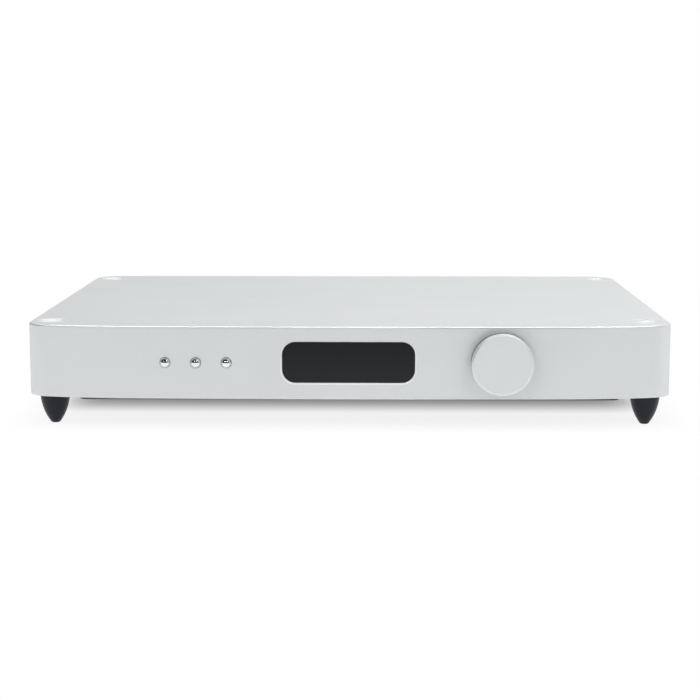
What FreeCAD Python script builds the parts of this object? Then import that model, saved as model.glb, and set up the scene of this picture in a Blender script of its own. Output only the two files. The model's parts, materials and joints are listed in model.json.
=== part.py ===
"""A full-width digital-to-analogue converter for home audio, built piece by piece.

Millimetres. +X is to the viewer's right, +Y goes to the rear and +Z is up. The origin is on the
surface that the unit stands on, under the middle of its bounding box.
"""
import FreeCAD, Part
import math
import os

V = FreeCAD.Vector
X_AXIS = V(1, 0, 0)
Y_AXIS = V(0, 1, 0)
Z_AXIS = V(0, 0, 1)

# Case: one milled aluminium shell, open below and at the rear
case_width = 450.0
case_depth = 340.0
case_height = 50.5
foot_height = 22.5
wall = 6.0
top_thickness = 4.0
front_wall_extra = 2.0
front_bow_radius = 6000.0
shoulder_width = 75.0
shoulder_radius = 317.0
corner_radius = 19.0
rear_corner_radius = 23.0
top_edge_radius = 1.0
bottom_edge_chamfer = 0.4

# Corner blocks, which take the feet, the stacking cups and the panels' screws
corner_block_width = 47.0
corner_block_front_reach = 45.0
corner_block_rear_reach = 40.0
foot_inset_side = 15.7
foot_inset_front = 33.5
foot_inset_rear = 23.0

# Base plate and rear panel
base_thickness = 1.0
base_front_inset = 4.8
base_rear_inset = 8.0
base_side_overlap = 1.5
base_nose_inset = 38.0
base_nose_chamfer = 3.0
foot_notch_gap = 4.0
rear_panel_thickness = 3.0
rear_panel_recess = 4.0
rear_opening_inset = 29.0
panel_gap = 0.3

# Fasteners
thread_radius = 1.45
thread_gap = 0.05
screw_gap = 0.15
head_radius = 2.75
head_height = 2.0
case_screw_length = 8.0
small_screw_length = 6.0
blind_end = 0.5
stud_radius = 2.5
stud_in_foot = 12.0
stud_in_block = 12.0
rear_screw_inset = 12.6
side_lug = 10.0
side_lug_height = 12.0
front_lug_x = 62.0
front_lug_reach = 16.0

# Feet and stacking cups
foot_top_radius = 10.5
foot_curve_radius = 37.3
foot_edge = 0.4
cup_radius = 11.2
cup_height = 4.2
cup_rim = 1.4
cup_dish_depth = 2.6
cup_gap = 0.1
cup_floor_radius = 3.6

# Display
display_width = 91.8
display_border = 21.9
display_corner = 9.2
display_above_middle = 0.45
window_bevel = 0.6
lens_gap = 0.2
lens_recess = 0.8
lens_step_depth = 2.5
lens_flange = 3.5
lens_flange_corner = 4.0
frame_thickness = 1.5
frame_side = 10.1
frame_above = 4.7
frame_screw_inset = 3.5
frame_screw_z = 8.0
module_side = 3.9
module_above = 0.8
module_depth = 8.0
glass_side = 6.9
glass_above = 3.3
glass_thickness = 1.6

# Front control board
board_thickness = 1.6
front_standoff = 12.0
front_board_left_margin = 11.2
front_board_right_margin = 22.5
front_board_lift = 8.5
front_board_headroom = 3.0
front_standoff_radius = 2.75
frame_standoff_x = 66.0
encoder_standoff_offset = 19.5
front_standoff_inset = 4.5

# Push buttons
button_middle_x = -105.6
button_pitch = 21.2
button_names = ("left", "middle", "right")
button_above_middle = 0.05
button_radius = 3.5
button_bore_gap = 0.25
button_rise = 3.2
button_dome = 2.8
button_flange_radius = 4.6
button_flange_thickness = 1.0
button_stem_radius = 1.6
button_travel = 0.8
switch_size = 6.0
switch_height = 3.5
plunger_radius = 1.75
plunger_length = 3.0
plunger_fit = 0.1
plunger_proud = 1.5

# Knob and rotary encoder
knob_x = 105.5
knob_above_middle = 0.45
knob_radius = 21.5
knob_rise = 11.6
knob_gap = 0.9
knob_wall = 3.0
knob_face = 3.5
knob_bevel = 1.0
knob_hub_radius = 6.0
shaft_radius = 3.0
shaft_fit = 0.05
hub_fit = 0.02
shaft_end_gap = 0.3
encoder_size = 16.0
bush_radius = 4.0
bush_gap = 0.15
bush_proud = 0.6
nut_recess_radius = 8.0
nut_recess_depth = 3.0
nut_flats = 11.0
nut_thickness = 2.0
washer_thickness = 0.6
washer_radius = 6.5
set_screw_radius = 1.5
set_screw_length = 2.8
shaft_depth_in_encoder = 8.5

# Circuit boards and what stands on them
connector_clearance = 2.1
standoff_radius = 3.0
standoff_spigot_radius = 2.05
board_margin = 5.0
main_board_rear_gap = 4.0
main_board_side_gap = 45.0
main_board_length = 217.0
board_to_board = 8.0
supply_board_side_gap = 11.0
supply_board_width = 104.0
supply_board_front_share = 0.41
supply_board_rear_share = 0.755
chip_height = 1.4
converter_chip_size = 10.0
channel_offset = 46.0
channel_chip_rear = 97.0
channel_chip_aside = 6.0
input_chip_left = 62.0
input_chip_rear = 87.0
processor_aside = 42.0
processor_rear = 121.0
oscillator_width = 14.0
oscillator_depth = 9.0
oscillator_height = 6.0
oscillator_left = 90.0
oscillator_rear = 149.0
relay_width = 10.0
relay_depth = 15.0
relay_height = 10.0
relay_right = 30.0
relay_rear = 47.0
relay_pitch = 20.0
relay_steps = (0, 1, 3, 4)
filter_radius = 5.0
filter_height = 12.0
filter_pair_half = 8.0
filter_rear = 123.0
component_row_pitch = 18.0
filter_row_count = 3
smoothing_radius = 11.0
smoothing_height = 30.0
smoothing_left = 18.0
smoothing_pitch_x = 26.0
smoothing_row_shares = (0.34, 0.62)
heatsink_right = 30.0
heatsink_front_share = 0.26
heatsink_length_share = 0.56
heatsink_back = 3.0
heatsink_fin = 9.0
heatsink_fin_thickness = 1.6
heatsink_fin_count = 9
heatsink_height = 28.0
regulator_width = 10.0
regulator_height = 16.0
regulator_thickness = 4.4
regulator_pitch = 18.0
regulator_lift = 4.0
regulator_legs_half = 4.0
regulator_leg_thickness = 0.5

# Mains transformer
transformer_left = 58.0
transformer_share = 0.185
transformer_radius = 47.5
transformer_bore = 18.0
transformer_headroom = 14.5
transformer_edge = 9.0
pad_thickness = 2.0
pad_radius = 44.0
disc_thickness = 1.6
disc_radius = 30.0
bolt_radius = 3.0
bolt_head_radius = 5.5
bolt_head_height = 3.6
bolt_below = 5.0
bolt_nut_height = 4.4

# Mains inlet with its fuse drawer
inlet_left = 50.0
rear_below_middle = 1.75
inlet_width = 28.5
inlet_height = 36.0
inlet_flange = 2.5
inlet_body_width = 27.0
inlet_body_height = 34.0
inlet_depth = 33.0
inlet_corner = 2.0
socket_width = 24.0
socket_height = 16.0
socket_depth = 16.0
socket_rise = 6.0
socket_chamfer = 4.5
pin_spread = 7.0
pin_width = 2.0
pin_height = 4.0
pin_offset = 1.5
pin_recess = 3.5
tab_length = 8.0
drawer_drop = 11.6
drawer_width = 20.0
drawer_height = 8.0
drawer_depth = 26.0
drawer_gap = 0.25
drawer_end_gap = 1.5
drawer_lip = 2.0
fuse_radius = 2.6
fuse_length = 20.0
fuse_gap = 0.1

# Power rocker switch
rocker_left = 90.0
rocker_housing_half_width = 6.6
rocker_housing_half_height = 10.0
rocker_bezel = 1.2
rocker_bezel_thickness = 1.6
rocker_housing_depth = 18.0
rocker_cavity_half_height = 8.8
rocker_half_width = 5.1
rocker_side_gap = 0.3
rocker_half_height = 7.3
rocker_face = 5.0
rocker_back = 2.5
rocker_tilt = 10.0
rocker_pivot_inset = 3.4
rocker_pin_radius = 1.2
rocker_pin_fit = 0.05
rocker_pin_reach = 6.2
switch_tab_length = 8.0
switch_tab_x = 3.5
switch_tab_z = 5.0

# Round three-pole connectors
output_right = 68.0
xlr_output_half_pitch = 36.0
xlr_input_left = 14.0
xlr_flange_width = 26.0
xlr_flange_height = 31.0
xlr_flange_corner = 2.5
xlr_flange_thickness = 2.0
xlr_body_radius = 11.8
xlr_cavity_radius = 9.2
xlr_depth = 18.0
xlr_back = 3.0
xlr_pin_radius = 1.2
xlr_pin_spread = 3.6
xlr_pin_high = 1.6
xlr_pin_low = 3.4
xlr_pin_recess = 4.0
xlr_pin_tail = 4.0
xlr_screw_x = 9.5
xlr_screw_z = 12.0
xlr_slot_outer = 9.4
xlr_slot_inner = 8.0
xlr_contact_radius = 1.4
xlr_contact_depth = 14.0
latch_width = 7.0
latch_height = 3.6
latch_length = 9.0
latch_proud = 1.5
latch_travel = 1.2
latch_gap = 0.25
latch_rise = 11.4
latch_housing_wall = 1.2

# Phono jacks
phono_output_half_pitch = 11.0
phono_input_left = 42.0
phono_input_half_pitch = 9.5
phono_sleeve_radius = 4.15
phono_bore_radius = 3.3
phono_barrel_radius = 4.0
phono_flange_flats = 10.8
phono_flange_thickness = 2.5
phono_depth = 14.0
phono_back = 2.0
phono_hole_gap = 0.3
insulator_gap = 0.05
insulator_recess = 0.6
insulator_bore = 1.6
insulator_bore_depth = 12.0

# Optical input with its shutter
optical_left = 63.0
optical_width = 13.0
optical_height = 13.0
optical_depth = 17.0
optical_proud = 1.0
optical_cavity = 9.2
optical_cavity_depth = 12.5
shutter_gap = 0.3
shutter_thickness = 0.8
shutter_recess = 0.6
shutter_barrel = 0.8
shutter_pin_radius = 0.5
shutter_pin_fit = 0.05
shutter_pin_reach = 0.9

# Square data socket
usb_left = 84.0
usb_width = 12.0
usb_height = 11.0
usb_depth = 16.0
usb_proud = 1.0
usb_cavity_width = 8.45
usb_cavity_height = 7.8
usb_cavity_depth = 9.0
usb_chamfer = 1.6
usb_tongue_width = 5.6
usb_tongue_height = 3.2
usb_tongue_length = 8.0
cutout_gap = 0.3

# Leads
mains_lead_radius = 1.1
supply_lead_radius = 0.7
lead_end_gap = 0.3
lead_step_share = 0.205
ribbon_thickness = 0.9
ribbon_width = 26.0
connector_gap = 0.3
connector_setback = 1.0
header_depth = 6.0
header_height = 7.0
header_end = 2.0
terminal_depth = 10.0
terminal_height = 9.0
earth_terminal_width = 8.0
mains_terminal_width = 11.0
ribbon_lift = 10.0
main_header_inset = 4.0
secondary_lead_count = 4
secondary_lead_pitch = 6.0
harness_count = 6
harness_pitch = 3.0
harness_share = 0.275
harness_rise = 1.6
harness_shoulder = 3.4
bend_share = 0.45

# Levels and planes worked out from the sizes above
shell_bottom = foot_height
shell_top = foot_height + case_height
shell_ceiling = shell_top - top_thickness
shell_middle = (shell_bottom + shell_top) / 2
display_height = case_height - display_border
display_z = shell_middle + display_above_middle
button_z = shell_middle + button_above_middle
knob_z = shell_middle + knob_above_middle
rear_z = shell_middle - rear_below_middle
half_width = case_width / 2
front_face = -case_depth / 2
rear_face = case_depth / 2
front_bow_half = half_width - shoulder_width
corner_block_inner_x = half_width - corner_block_width
corner_x = half_width - foot_inset_side
base_nose_half = half_width - base_nose_inset
rear_opening_half = half_width - rear_opening_inset
front_inner = front_face + wall + front_wall_extra
panel_outer = rear_face - rear_panel_recess
panel_inner = panel_outer - rear_panel_thickness
base_top = shell_bottom
base_bottom = base_top - base_thickness
front_foot_y = front_face + foot_inset_front
rear_foot_y = rear_face - foot_inset_rear
front_block_end = front_inner + corner_block_front_reach
rear_block_start = rear_face - corner_block_rear_reach
frame_width = display_width + 2 * frame_side
frame_height = display_height + 2 * frame_above
frame_screw_x = frame_width / 2 - frame_screw_inset
module_width = display_width - 2 * module_side
module_height = display_height - 2 * module_above
glass_width = display_width - 2 * glass_side
glass_height = display_height - 2 * glass_above
front_board_front = front_inner + front_standoff
front_board_back = front_board_front + board_thickness
button_x = [button_middle_x + side * button_pitch for side in (-1, 0, 1)]
front_board_left = button_x[0] - front_board_left_margin
front_board_right = knob_x + front_board_right_margin
front_board_bottom = shell_bottom + front_board_lift
front_board_top = shell_ceiling - front_board_headroom
front_standoff_low_z = front_board_bottom + front_standoff_inset
front_standoff_high_z = front_board_top - front_standoff_inset
ribbon_z = front_board_bottom + ribbon_lift
board_top = rear_z - xlr_body_radius - connector_clearance
board_bottom = board_top - board_thickness
supply_board_left = wall + supply_board_side_gap - half_width
supply_board_right = supply_board_left + supply_board_width
supply_bay = rear_face - front_block_end
supply_board_front = front_block_end + supply_board_front_share * supply_bay
supply_board_rear = front_block_end + supply_board_rear_share * supply_bay
supply_board_length = supply_board_rear - supply_board_front
main_board_left = supply_board_right + board_to_board
main_board_right = half_width - wall - main_board_side_gap
main_board_rear = panel_inner - main_board_rear_gap
main_board_front = main_board_rear - main_board_length
main_board_edges = (main_board_left, main_board_right, main_board_front, main_board_rear)
supply_board_edges = (supply_board_left, supply_board_right, supply_board_front, supply_board_rear)
main_header_y = main_board_front + main_header_inset
harness_y = supply_board_front + harness_share * supply_board_length
heatsink_x = supply_board_right - heatsink_right
heatsink_y = supply_board_front + heatsink_front_share * supply_board_length
heatsink_length = heatsink_length_share * supply_board_length
transformer_x = supply_board_left + transformer_left
transformer_y = front_block_end + transformer_share * supply_bay
transformer_height = shell_ceiling - base_top - transformer_headroom
inlet_x = supply_board_left + inlet_left
rocker_x = supply_board_left + rocker_left
output_x = main_board_right - output_right
xlr_output_x = (output_x - xlr_output_half_pitch, output_x + xlr_output_half_pitch)
phono_output_x = (output_x - phono_output_half_pitch, output_x + phono_output_half_pitch)
xlr_input_x = main_board_left + xlr_input_left
phono_input_x = main_board_left + phono_input_left
phono_input_z = (rear_z - phono_input_half_pitch, rear_z + phono_input_half_pitch)
optical_x = main_board_left + optical_left
usb_x = main_board_left + usb_left
first_channel_x = output_x - channel_offset
channel_x = (first_channel_x, first_channel_x + 2 * xlr_output_half_pitch)
corners = [(side * corner_x, y) for y in (front_foot_y, rear_foot_y) for side in (-1, 1)]


def front_surface(x):
    """Y of the bowed front face at x."""
    centre = front_face + front_bow_radius
    return centre - math.sqrt(front_bow_radius ** 2 - x ** 2)


knob_front = front_surface(knob_x) - knob_rise
knob_back = front_surface(knob_x) - knob_gap
phono_tip = -knob_front


def box(x0, x1, y0, y1, z0, z1):
    return Part.makeBox(x1 - x0, y1 - y0, z1 - z0, V(x0, y0, z0))


def centred_box(x, z, width, height, y0, y1):
    """A box centred on x and z that runs along Y."""
    return box(x - width / 2, x + width / 2, y0, y1, z - height / 2, z + height / 2)


def rod_y(x, z, radius, y0, y1):
    return Part.makeCylinder(radius, y1 - y0, V(x, y0, z), Y_AXIS)


def rod_z(x, y, radius, z0, z1):
    return Part.makeCylinder(radius, z1 - z0, V(x, y, z0), Z_AXIS)


def rod_x(y, z, radius, x0, x1):
    return Part.makeCylinder(radius, x1 - x0, V(x0, y, z), X_AXIS)


def join(shapes):
    """One solid from pieces that overlap or share faces."""
    whole = shapes[0]
    for shape in shapes[1:]:
        whole = whole.fuse(shape)
    return whole.removeSplitter()


def cut_all(shape, tools):
    if not tools:
        return shape
    return shape.cut(Part.makeCompound(tools))


def edges_along(shape, axis):
    """Straight edges parallel to an axis."""
    found = []
    for edge in shape.Edges:
        if not isinstance(edge.Curve, Part.Line):
            continue
        if abs(abs(edge.Curve.Direction.dot(axis)) - 1) < 1e-6:
            found.append(edge)
    return found


def rounded_block(x, z, width, height, corner, y0, y1):
    """A block along Y with rounded corners, centred on x and z."""
    block = centred_box(x, z, width, height, y0, y1)
    return block.makeFillet(corner, edges_along(block, Y_AXIS))


def outline_half(inset):
    """The right half of the case outline, from the front's middle to the rear's middle."""
    bow_centre = V(0, front_face + front_bow_radius, 0)
    bow_end = math.asin(front_bow_half / front_bow_radius)
    bow_normal = V(math.sin(bow_end), -math.cos(bow_end), 0)
    shoulder_centre = bow_centre + bow_normal * (front_bow_radius - shoulder_radius)
    corner_centre_x = half_width - corner_radius
    across = corner_centre_x - shoulder_centre.x
    down = math.sqrt((shoulder_radius - corner_radius) ** 2 - across ** 2)
    corner_centre = V(corner_centre_x, shoulder_centre.y - down, 0)
    shoulder_end = math.atan2(across, down)
    rear_centre = V(half_width - rear_corner_radius, rear_face - rear_corner_radius, 0)

    def on_arc(centre, radius, angle):
        return centre + V(math.sin(angle), -math.cos(angle), 0) * (radius - inset)

    bow = [on_arc(bow_centre, front_bow_radius, bow_end * share) for share in (0.0, 0.5, 1.0)]
    middle = (bow_end + shoulder_end) / 2
    shoulder = [on_arc(shoulder_centre, shoulder_radius, a) for a in (bow_end, middle, shoulder_end)]
    quarter = math.pi / 2
    turn_middle = (shoulder_end + quarter) / 2
    turn = [on_arc(corner_centre, corner_radius, a) for a in (shoulder_end, turn_middle, quarter)]
    rear_middle = (quarter + math.pi) / 2
    rear = [on_arc(rear_centre, rear_corner_radius, a) for a in (quarter, rear_middle, math.pi)]
    return bow, shoulder, turn, rear


def mirrored(point):
    return V(-point.x, point.y, point.z)


def outline_prism(inset, z0, z1):
    """The case outline, drawn in by an inset and raised between two levels."""
    bow, shoulder, turn, rear = outline_half(inset)
    right = [
        Part.Arc(*bow).toShape(),
        Part.Arc(*shoulder).toShape(),
        Part.Arc(*turn).toShape(),
        Part.makeLine(turn[2], rear[0]),
        Part.Arc(*rear).toShape(),
    ]
    left = [
        Part.makeLine(rear[2], mirrored(rear[2])),
        Part.Arc(*[mirrored(p) for p in reversed(rear)]).toShape(),
        Part.makeLine(mirrored(rear[0]), mirrored(turn[2])),
        Part.Arc(*[mirrored(p) for p in reversed(turn)]).toShape(),
        Part.Arc(*[mirrored(p) for p in reversed(shoulder)]).toShape(),
        Part.Arc(*[mirrored(p) for p in reversed(bow)]).toShape(),
    ]
    face = Part.Face(Part.Wire(right + left))
    face.translate(V(0, 0, z0))
    return face.extrude(V(0, 0, z1 - z0))


def screw(head_centre, direction, length):
    """A pan-head screw whose head sits under its flat side at head_centre."""
    shank = Part.makeCylinder(thread_radius, length, head_centre, direction)
    head = Part.makeCylinder(head_radius, head_height, head_centre, direction * -1)
    rim = [e for e in head.Edges if (e.CenterOfMass - head_centre).Length > head_height / 2]
    head = head.makeFillet(head_height / 4, [e for e in rim if isinstance(e.Curve, Part.Circle)])
    return join([head, shank])


def tapped_hole(mouth, direction, depth):
    return Part.makeCylinder(thread_radius + thread_gap, depth + blind_end, mouth, direction)


def base_screw_places():
    """Heads' centres on the base plate's underside."""
    front_y = front_inner + corner_block_front_reach / 2
    rear_y = rear_block_start + corner_block_rear_reach / 3
    block_x = corner_block_inner_x + side_lug / 2
    lug_x = half_width - wall - side_lug / 2
    lug_y = front_inner + front_lug_reach - side_lug / 2
    places = [(side * block_x, y) for y in (front_y, rear_y) for side in (-1, 1)]
    places += [(side * lug_x, 0.0) for side in (-1, 1)]
    places += [(side * front_lug_x, lug_y) for side in (-1, 1)]
    return places


def rear_screw_places():
    """Heads' centres, x and z, on the rear panel's outer face."""
    x = (corner_block_inner_x + rear_opening_half) / 2
    levels = (shell_bottom + rear_screw_inset, shell_top - rear_screw_inset)
    return [(side * x, z) for side in (-1, 1) for z in levels]


def frame_screw_places():
    signs = (-1, 1)
    return [(sx * frame_screw_x, display_z + sz * frame_screw_z) for sx in signs for sz in signs]


def front_standoff_places():
    left = front_board_left + board_margin
    right = knob_x - encoder_standoff_offset
    places = []
    for x in (left, -frame_standoff_x, frame_standoff_x, right):
        places.append((x, front_standoff_low_z))
        places.append((x, front_standoff_high_z))
    return places


def board_corners(left, right, front, rear):
    columns = (left + board_margin, right - board_margin)
    rows = (front + board_margin, rear - board_margin)
    return [(x, y) for x in columns for y in rows]


def standoff_places():
    """Pillars under the main board and the supply board."""
    return board_corners(*main_board_edges) + board_corners(*supply_board_edges)


def corner_blocks():
    """Solid corners of the shell, cut to the case outline."""
    blocks = []
    for side in (-1, 1):
        x0, x1 = sorted((side * corner_block_inner_x, side * half_width))
        blocks.append(box(x0, x1, front_face, front_block_end, shell_bottom, shell_ceiling))
        blocks.append(box(x0, x1, rear_block_start, panel_inner, shell_bottom, shell_ceiling))
    body = outline_prism(wall / 2, shell_bottom, shell_ceiling)
    return [block.common(body) for block in blocks]


def base_lugs():
    """Small lugs on the side and front walls that take the base plate's middle screws."""
    top = shell_bottom + side_lug_height
    lugs = []
    for side in (-1, 1):
        x0, x1 = sorted((side * (half_width - wall - side_lug), side * (half_width - wall / 2)))
        lugs.append(box(x0, x1, -side_lug / 2, side_lug / 2, shell_bottom, top))
        x = side * front_lug_x
        y0 = front_inner - wall / 2
        y1 = front_inner + front_lug_reach
        lugs.append(box(x - side_lug / 2, x + side_lug / 2, y0, y1, shell_bottom, top - wall))
    return lugs


def shell_cavity():
    inside = outline_prism(wall, shell_bottom - wall, shell_ceiling)
    keep = box(-half_width, half_width, front_inner, rear_face, shell_bottom - wall, shell_ceiling)
    return inside.common(keep)


def window_opening():
    """The display's opening through the front wall and the lens flange's pocket behind it."""
    back = front_inner + wall
    front = front_face - wall
    opening = rounded_block(0, display_z, display_width, display_height, display_corner, front, back)
    pocket_width = display_width + 2 * lens_flange + 2 * lens_gap
    pocket_height = display_height + 2 * lens_flange + 2 * lens_gap
    floor = front_inner - lens_step_depth
    pocket = rounded_block(0, display_z, pocket_width, pocket_height, lens_flange_corner, floor, back)
    return [opening, pocket]


def window_rim(solid):
    """The edges where the display's opening meets the bowed front face."""
    deepest = front_surface(display_width / 2) + window_bevel / 2
    rim = []
    for edge in solid.Edges:
        bounds = edge.BoundBox
        inside_x = max(abs(bounds.XMin), abs(bounds.XMax)) < display_width / 2 + window_bevel
        reach_z = max(abs(bounds.ZMin - display_z), abs(bounds.ZMax - display_z))
        inside_z = reach_z < display_height / 2 + window_bevel
        if inside_x and inside_z and bounds.YMax < deepest:
            rim.append(edge)
    return rim


def shell_holes():
    """Bores for buttons, bush, screws, studs and cups."""
    tools = []
    outside = front_face - wall
    inside = front_inner + wall
    for x in button_x:
        tools.append(rod_y(x, button_z, button_radius + button_bore_gap, outside, inside))
    tools.append(rod_y(knob_x, knob_z, bush_radius + bush_gap, outside, inside))
    tools.append(rod_y(knob_x, knob_z, nut_recess_radius, outside, nut_seat()))
    forward = Y_AXIS * -1
    for x, z in frame_screw_places():
        tools.append(tapped_hole(V(x, front_inner, z), forward, small_screw_length - frame_thickness))
    for x, z in front_standoff_places():
        tools.append(tapped_hole(V(x, front_inner, z), forward, small_screw_length - board_thickness))
    for x, y in base_screw_places():
        tools.append(tapped_hole(V(x, y, shell_bottom), Z_AXIS, case_screw_length - base_thickness))
    for x, z in rear_screw_places():
        tools.append(tapped_hole(V(x, panel_inner, z), forward, case_screw_length - rear_panel_thickness))
    stud_hole_top = shell_bottom + stud_in_block + blind_end
    for x, y in corners:
        tools.append(rod_z(x, y, stud_radius + thread_gap, shell_bottom, stud_hole_top))
        tools.append(rod_z(x, y, cup_radius + cup_gap, shell_top - cup_height, shell_top))
    return tools


def case_shell():
    outer = outline_prism(0, shell_bottom, shell_top)
    top_edges = [e for e in outer.Edges if abs(e.BoundBox.ZMin - shell_top) < 1e-6]
    outer = outer.makeFillet(top_edge_radius, top_edges)
    low_edges = [e for e in outer.Edges if abs(e.BoundBox.ZMax - shell_bottom) < 1e-6]
    outer = outer.makeChamfer(bottom_edge_chamfer, low_edges)
    half = rear_opening_half
    opening = box(-half, half, panel_inner, rear_face + wall, shell_bottom - wall, shell_ceiling)
    hollow = outer.cut(shell_cavity())
    solid = join([hollow] + corner_blocks() + base_lugs())
    solid = cut_all(solid, [opening] + window_opening())
    solid = solid.makeChamfer(window_bevel, window_rim(solid))
    return cut_all(solid, shell_holes())


def base_plate():
    """A steel sheet with a straight front edge, notched round the feet."""
    front = front_face + base_front_inset
    rear = rear_face - base_rear_inset
    side = half_width - wall + base_side_overlap
    notch_x = corner_x - foot_top_radius - foot_notch_gap
    nose = base_nose_half
    front_notch = front_foot_y + foot_top_radius + foot_notch_gap
    rear_notch = rear_foot_y - foot_top_radius - foot_notch_gap
    right = [
        (nose - base_nose_chamfer, front),
        (nose, front + base_nose_chamfer),
        (notch_x, front_foot_y),
        (notch_x, front_notch),
        (side, front_notch),
        (side, rear_notch),
        (notch_x, rear_notch),
        (notch_x, rear),
    ]
    ring = [V(x, y, base_bottom) for x, y in right]
    ring += [V(-x, y, base_bottom) for x, y in reversed(right)]
    plate = Part.Face(Part.makePolygon(ring + ring[:1])).extrude(V(0, 0, base_thickness))
    tools = []
    for x, y in base_screw_places():
        tools.append(rod_z(x, y, thread_radius + screw_gap, base_bottom, base_top))
    for x, y in standoff_places():
        tools.append(rod_z(x, y, standoff_spigot_radius + thread_gap, base_bottom, base_top))
    tools.append(rod_z(transformer_x, transformer_y, bolt_radius + screw_gap, base_bottom, base_top))
    return cut_all(plate, tools)


def xlr_screw_places(x):
    return [(x - xlr_screw_x, rear_z + xlr_screw_z), (x + xlr_screw_x, rear_z - xlr_screw_z)]


def xlr_places():
    return list(xlr_output_x) + [xlr_input_x]


def phono_places():
    outputs = [(x, rear_z) for x in phono_output_x]
    inputs = [(phono_input_x, z) for z in phono_input_z]
    return outputs + inputs


def rear_panel():
    """The recessed connector panel."""
    half = rear_opening_half - panel_gap
    plate = box(-half, half, panel_inner, panel_outer, base_top, shell_ceiling)
    y0 = panel_inner - wall
    y1 = panel_outer + wall
    tools = []
    inlet_wide = inlet_body_width + 2 * cutout_gap
    inlet_high = inlet_body_height + 2 * cutout_gap
    tools.append(rounded_block(inlet_x, rear_z, inlet_wide, inlet_high, inlet_corner, y0, y1))
    rocker_wide = 2 * (rocker_housing_half_width + cutout_gap)
    rocker_high = 2 * (rocker_housing_half_height + cutout_gap)
    tools.append(centred_box(rocker_x, rear_z, rocker_wide, rocker_high, y0, y1))
    for x in xlr_places():
        tools.append(rod_y(x, rear_z, xlr_body_radius + cutout_gap, y0, y1))
        for sx, sz in xlr_screw_places(x):
            tools.append(rod_y(sx, sz, thread_radius + thread_gap, y0, y1))
    tools.append(latch_housing(cutout_gap))
    for x, z in phono_places():
        tools.append(rod_y(x, z, phono_barrel_radius + phono_hole_gap, y0, y1))
    optical = (optical_width + 2 * cutout_gap, optical_height + 2 * cutout_gap)
    tools.append(centred_box(optical_x, rear_z, optical[0], optical[1], y0, y1))
    usb = (usb_width + 2 * cutout_gap, usb_height + 2 * cutout_gap)
    tools.append(centred_box(usb_x, rear_z, usb[0], usb[1], y0, y1))
    for x, z in rear_screw_places():
        tools.append(rod_y(x, z, thread_radius + screw_gap, y0, y1))
    return cut_all(plate, tools)


def foot(x, y):
    """A bullet-shaped foot: one arc from the wide top to the small flat tip."""
    def radius_at(z):
        across = math.sqrt(foot_curve_radius ** 2 - (foot_height - z) ** 2)
        return foot_top_radius - foot_curve_radius + across

    tip = V(radius_at(0), 0, 0)
    top = V(foot_top_radius, 0, foot_height)
    side = Part.Arc(tip, V(radius_at(foot_height / 2), 0, foot_height / 2), top).toShape()
    lines = Part.makePolygon([top, V(0, 0, foot_height), V(0, 0, 0), tip])
    face = Part.Face(Part.Wire([side] + lines.Edges))
    solid = face.revolve(V(0, 0, 0), Z_AXIS, 360)
    rims = [e for e in solid.Edges if isinstance(e.Curve, Part.Circle) and e.BoundBox.ZMax < foot_edge]
    solid = solid.makeFillet(foot_edge, rims)
    solid.translate(V(x, y, 0))
    hole = rod_z(x, y, stud_radius + thread_gap, foot_height - stud_in_foot - blind_end, foot_height)
    return solid.cut(hole)


def foot_stud(x, y):
    return rod_z(x, y, stud_radius, foot_height - stud_in_foot, foot_height + stud_in_block)


def stacking_cup(x, y):
    """A polished disc with a dished top, which takes the foot of a unit stacked above."""
    rim = cup_radius - cup_rim
    across = rim - cup_floor_radius
    profile = [
        V(0, 0, 0),
        V(cup_radius, 0, 0),
        V(cup_radius, 0, cup_height),
        V(rim, 0, cup_height),
    ]
    outside = Part.makePolygon(profile)
    drop = cup_height - cup_dish_depth
    dish_radius = (across ** 2 + cup_dish_depth ** 2) / (2 * cup_dish_depth)
    dish_angle = math.asin(across / dish_radius) / 2
    on_dish = V(cup_floor_radius + dish_radius * math.sin(dish_angle), 0, 0)
    on_dish.z = drop + dish_radius * (1 - math.cos(dish_angle))
    dish = Part.Arc(V(rim, 0, cup_height), on_dish, V(cup_floor_radius, 0, drop)).toShape()
    floor = Part.makePolygon([V(cup_floor_radius, 0, drop), V(0, 0, drop), V(0, 0, 0)])
    face = Part.Face(Part.Wire(outside.Edges + [dish] + floor.Edges))
    solid = face.revolve(V(0, 0, 0), Z_AXIS, 360)
    solid.translate(V(x, y, shell_top - cup_height))
    return solid


def case_screws():
    shapes = [screw(V(x, y, base_bottom), Z_AXIS, case_screw_length) for x, y in base_screw_places()]
    shapes += [screw(V(x, panel_outer, z), Y_AXIS * -1, case_screw_length) for x, z in rear_screw_places()]
    return shapes


def small_screws():
    """Identical short screws: lens frame, front board, both inner boards and round connectors."""
    shapes = []
    for x, z in frame_screw_places():
        shapes.append(screw(V(x, front_inner + frame_thickness, z), Y_AXIS * -1, small_screw_length))
    for x, z in front_standoff_places():
        shapes.append(screw(V(x, front_board_back, z), Y_AXIS * -1, small_screw_length))
    for x, y in standoff_places():
        shapes.append(screw(V(x, y, board_top), Z_AXIS * -1, small_screw_length))
    for x in xlr_places():
        for sx, sz in xlr_screw_places(x):
            seat = panel_outer + xlr_flange_thickness
            shapes.append(screw(V(sx, seat, sz), Y_AXIS * -1, small_screw_length))
    return shapes


def display_lens():
    """The smoked window: a front step in the opening and a flange behind it."""
    front = front_face + lens_recess
    step = front_inner - lens_step_depth
    wide = display_width - 2 * lens_gap
    high = display_height - 2 * lens_gap
    nose = rounded_block(0, display_z, wide, high, display_corner - lens_gap, front, step)
    flange_wide = display_width + 2 * lens_flange
    flange_high = display_height + 2 * lens_flange
    flange = rounded_block(0, display_z, flange_wide, flange_high, lens_flange_corner, step, front_inner)
    return join([nose, flange])


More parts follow.
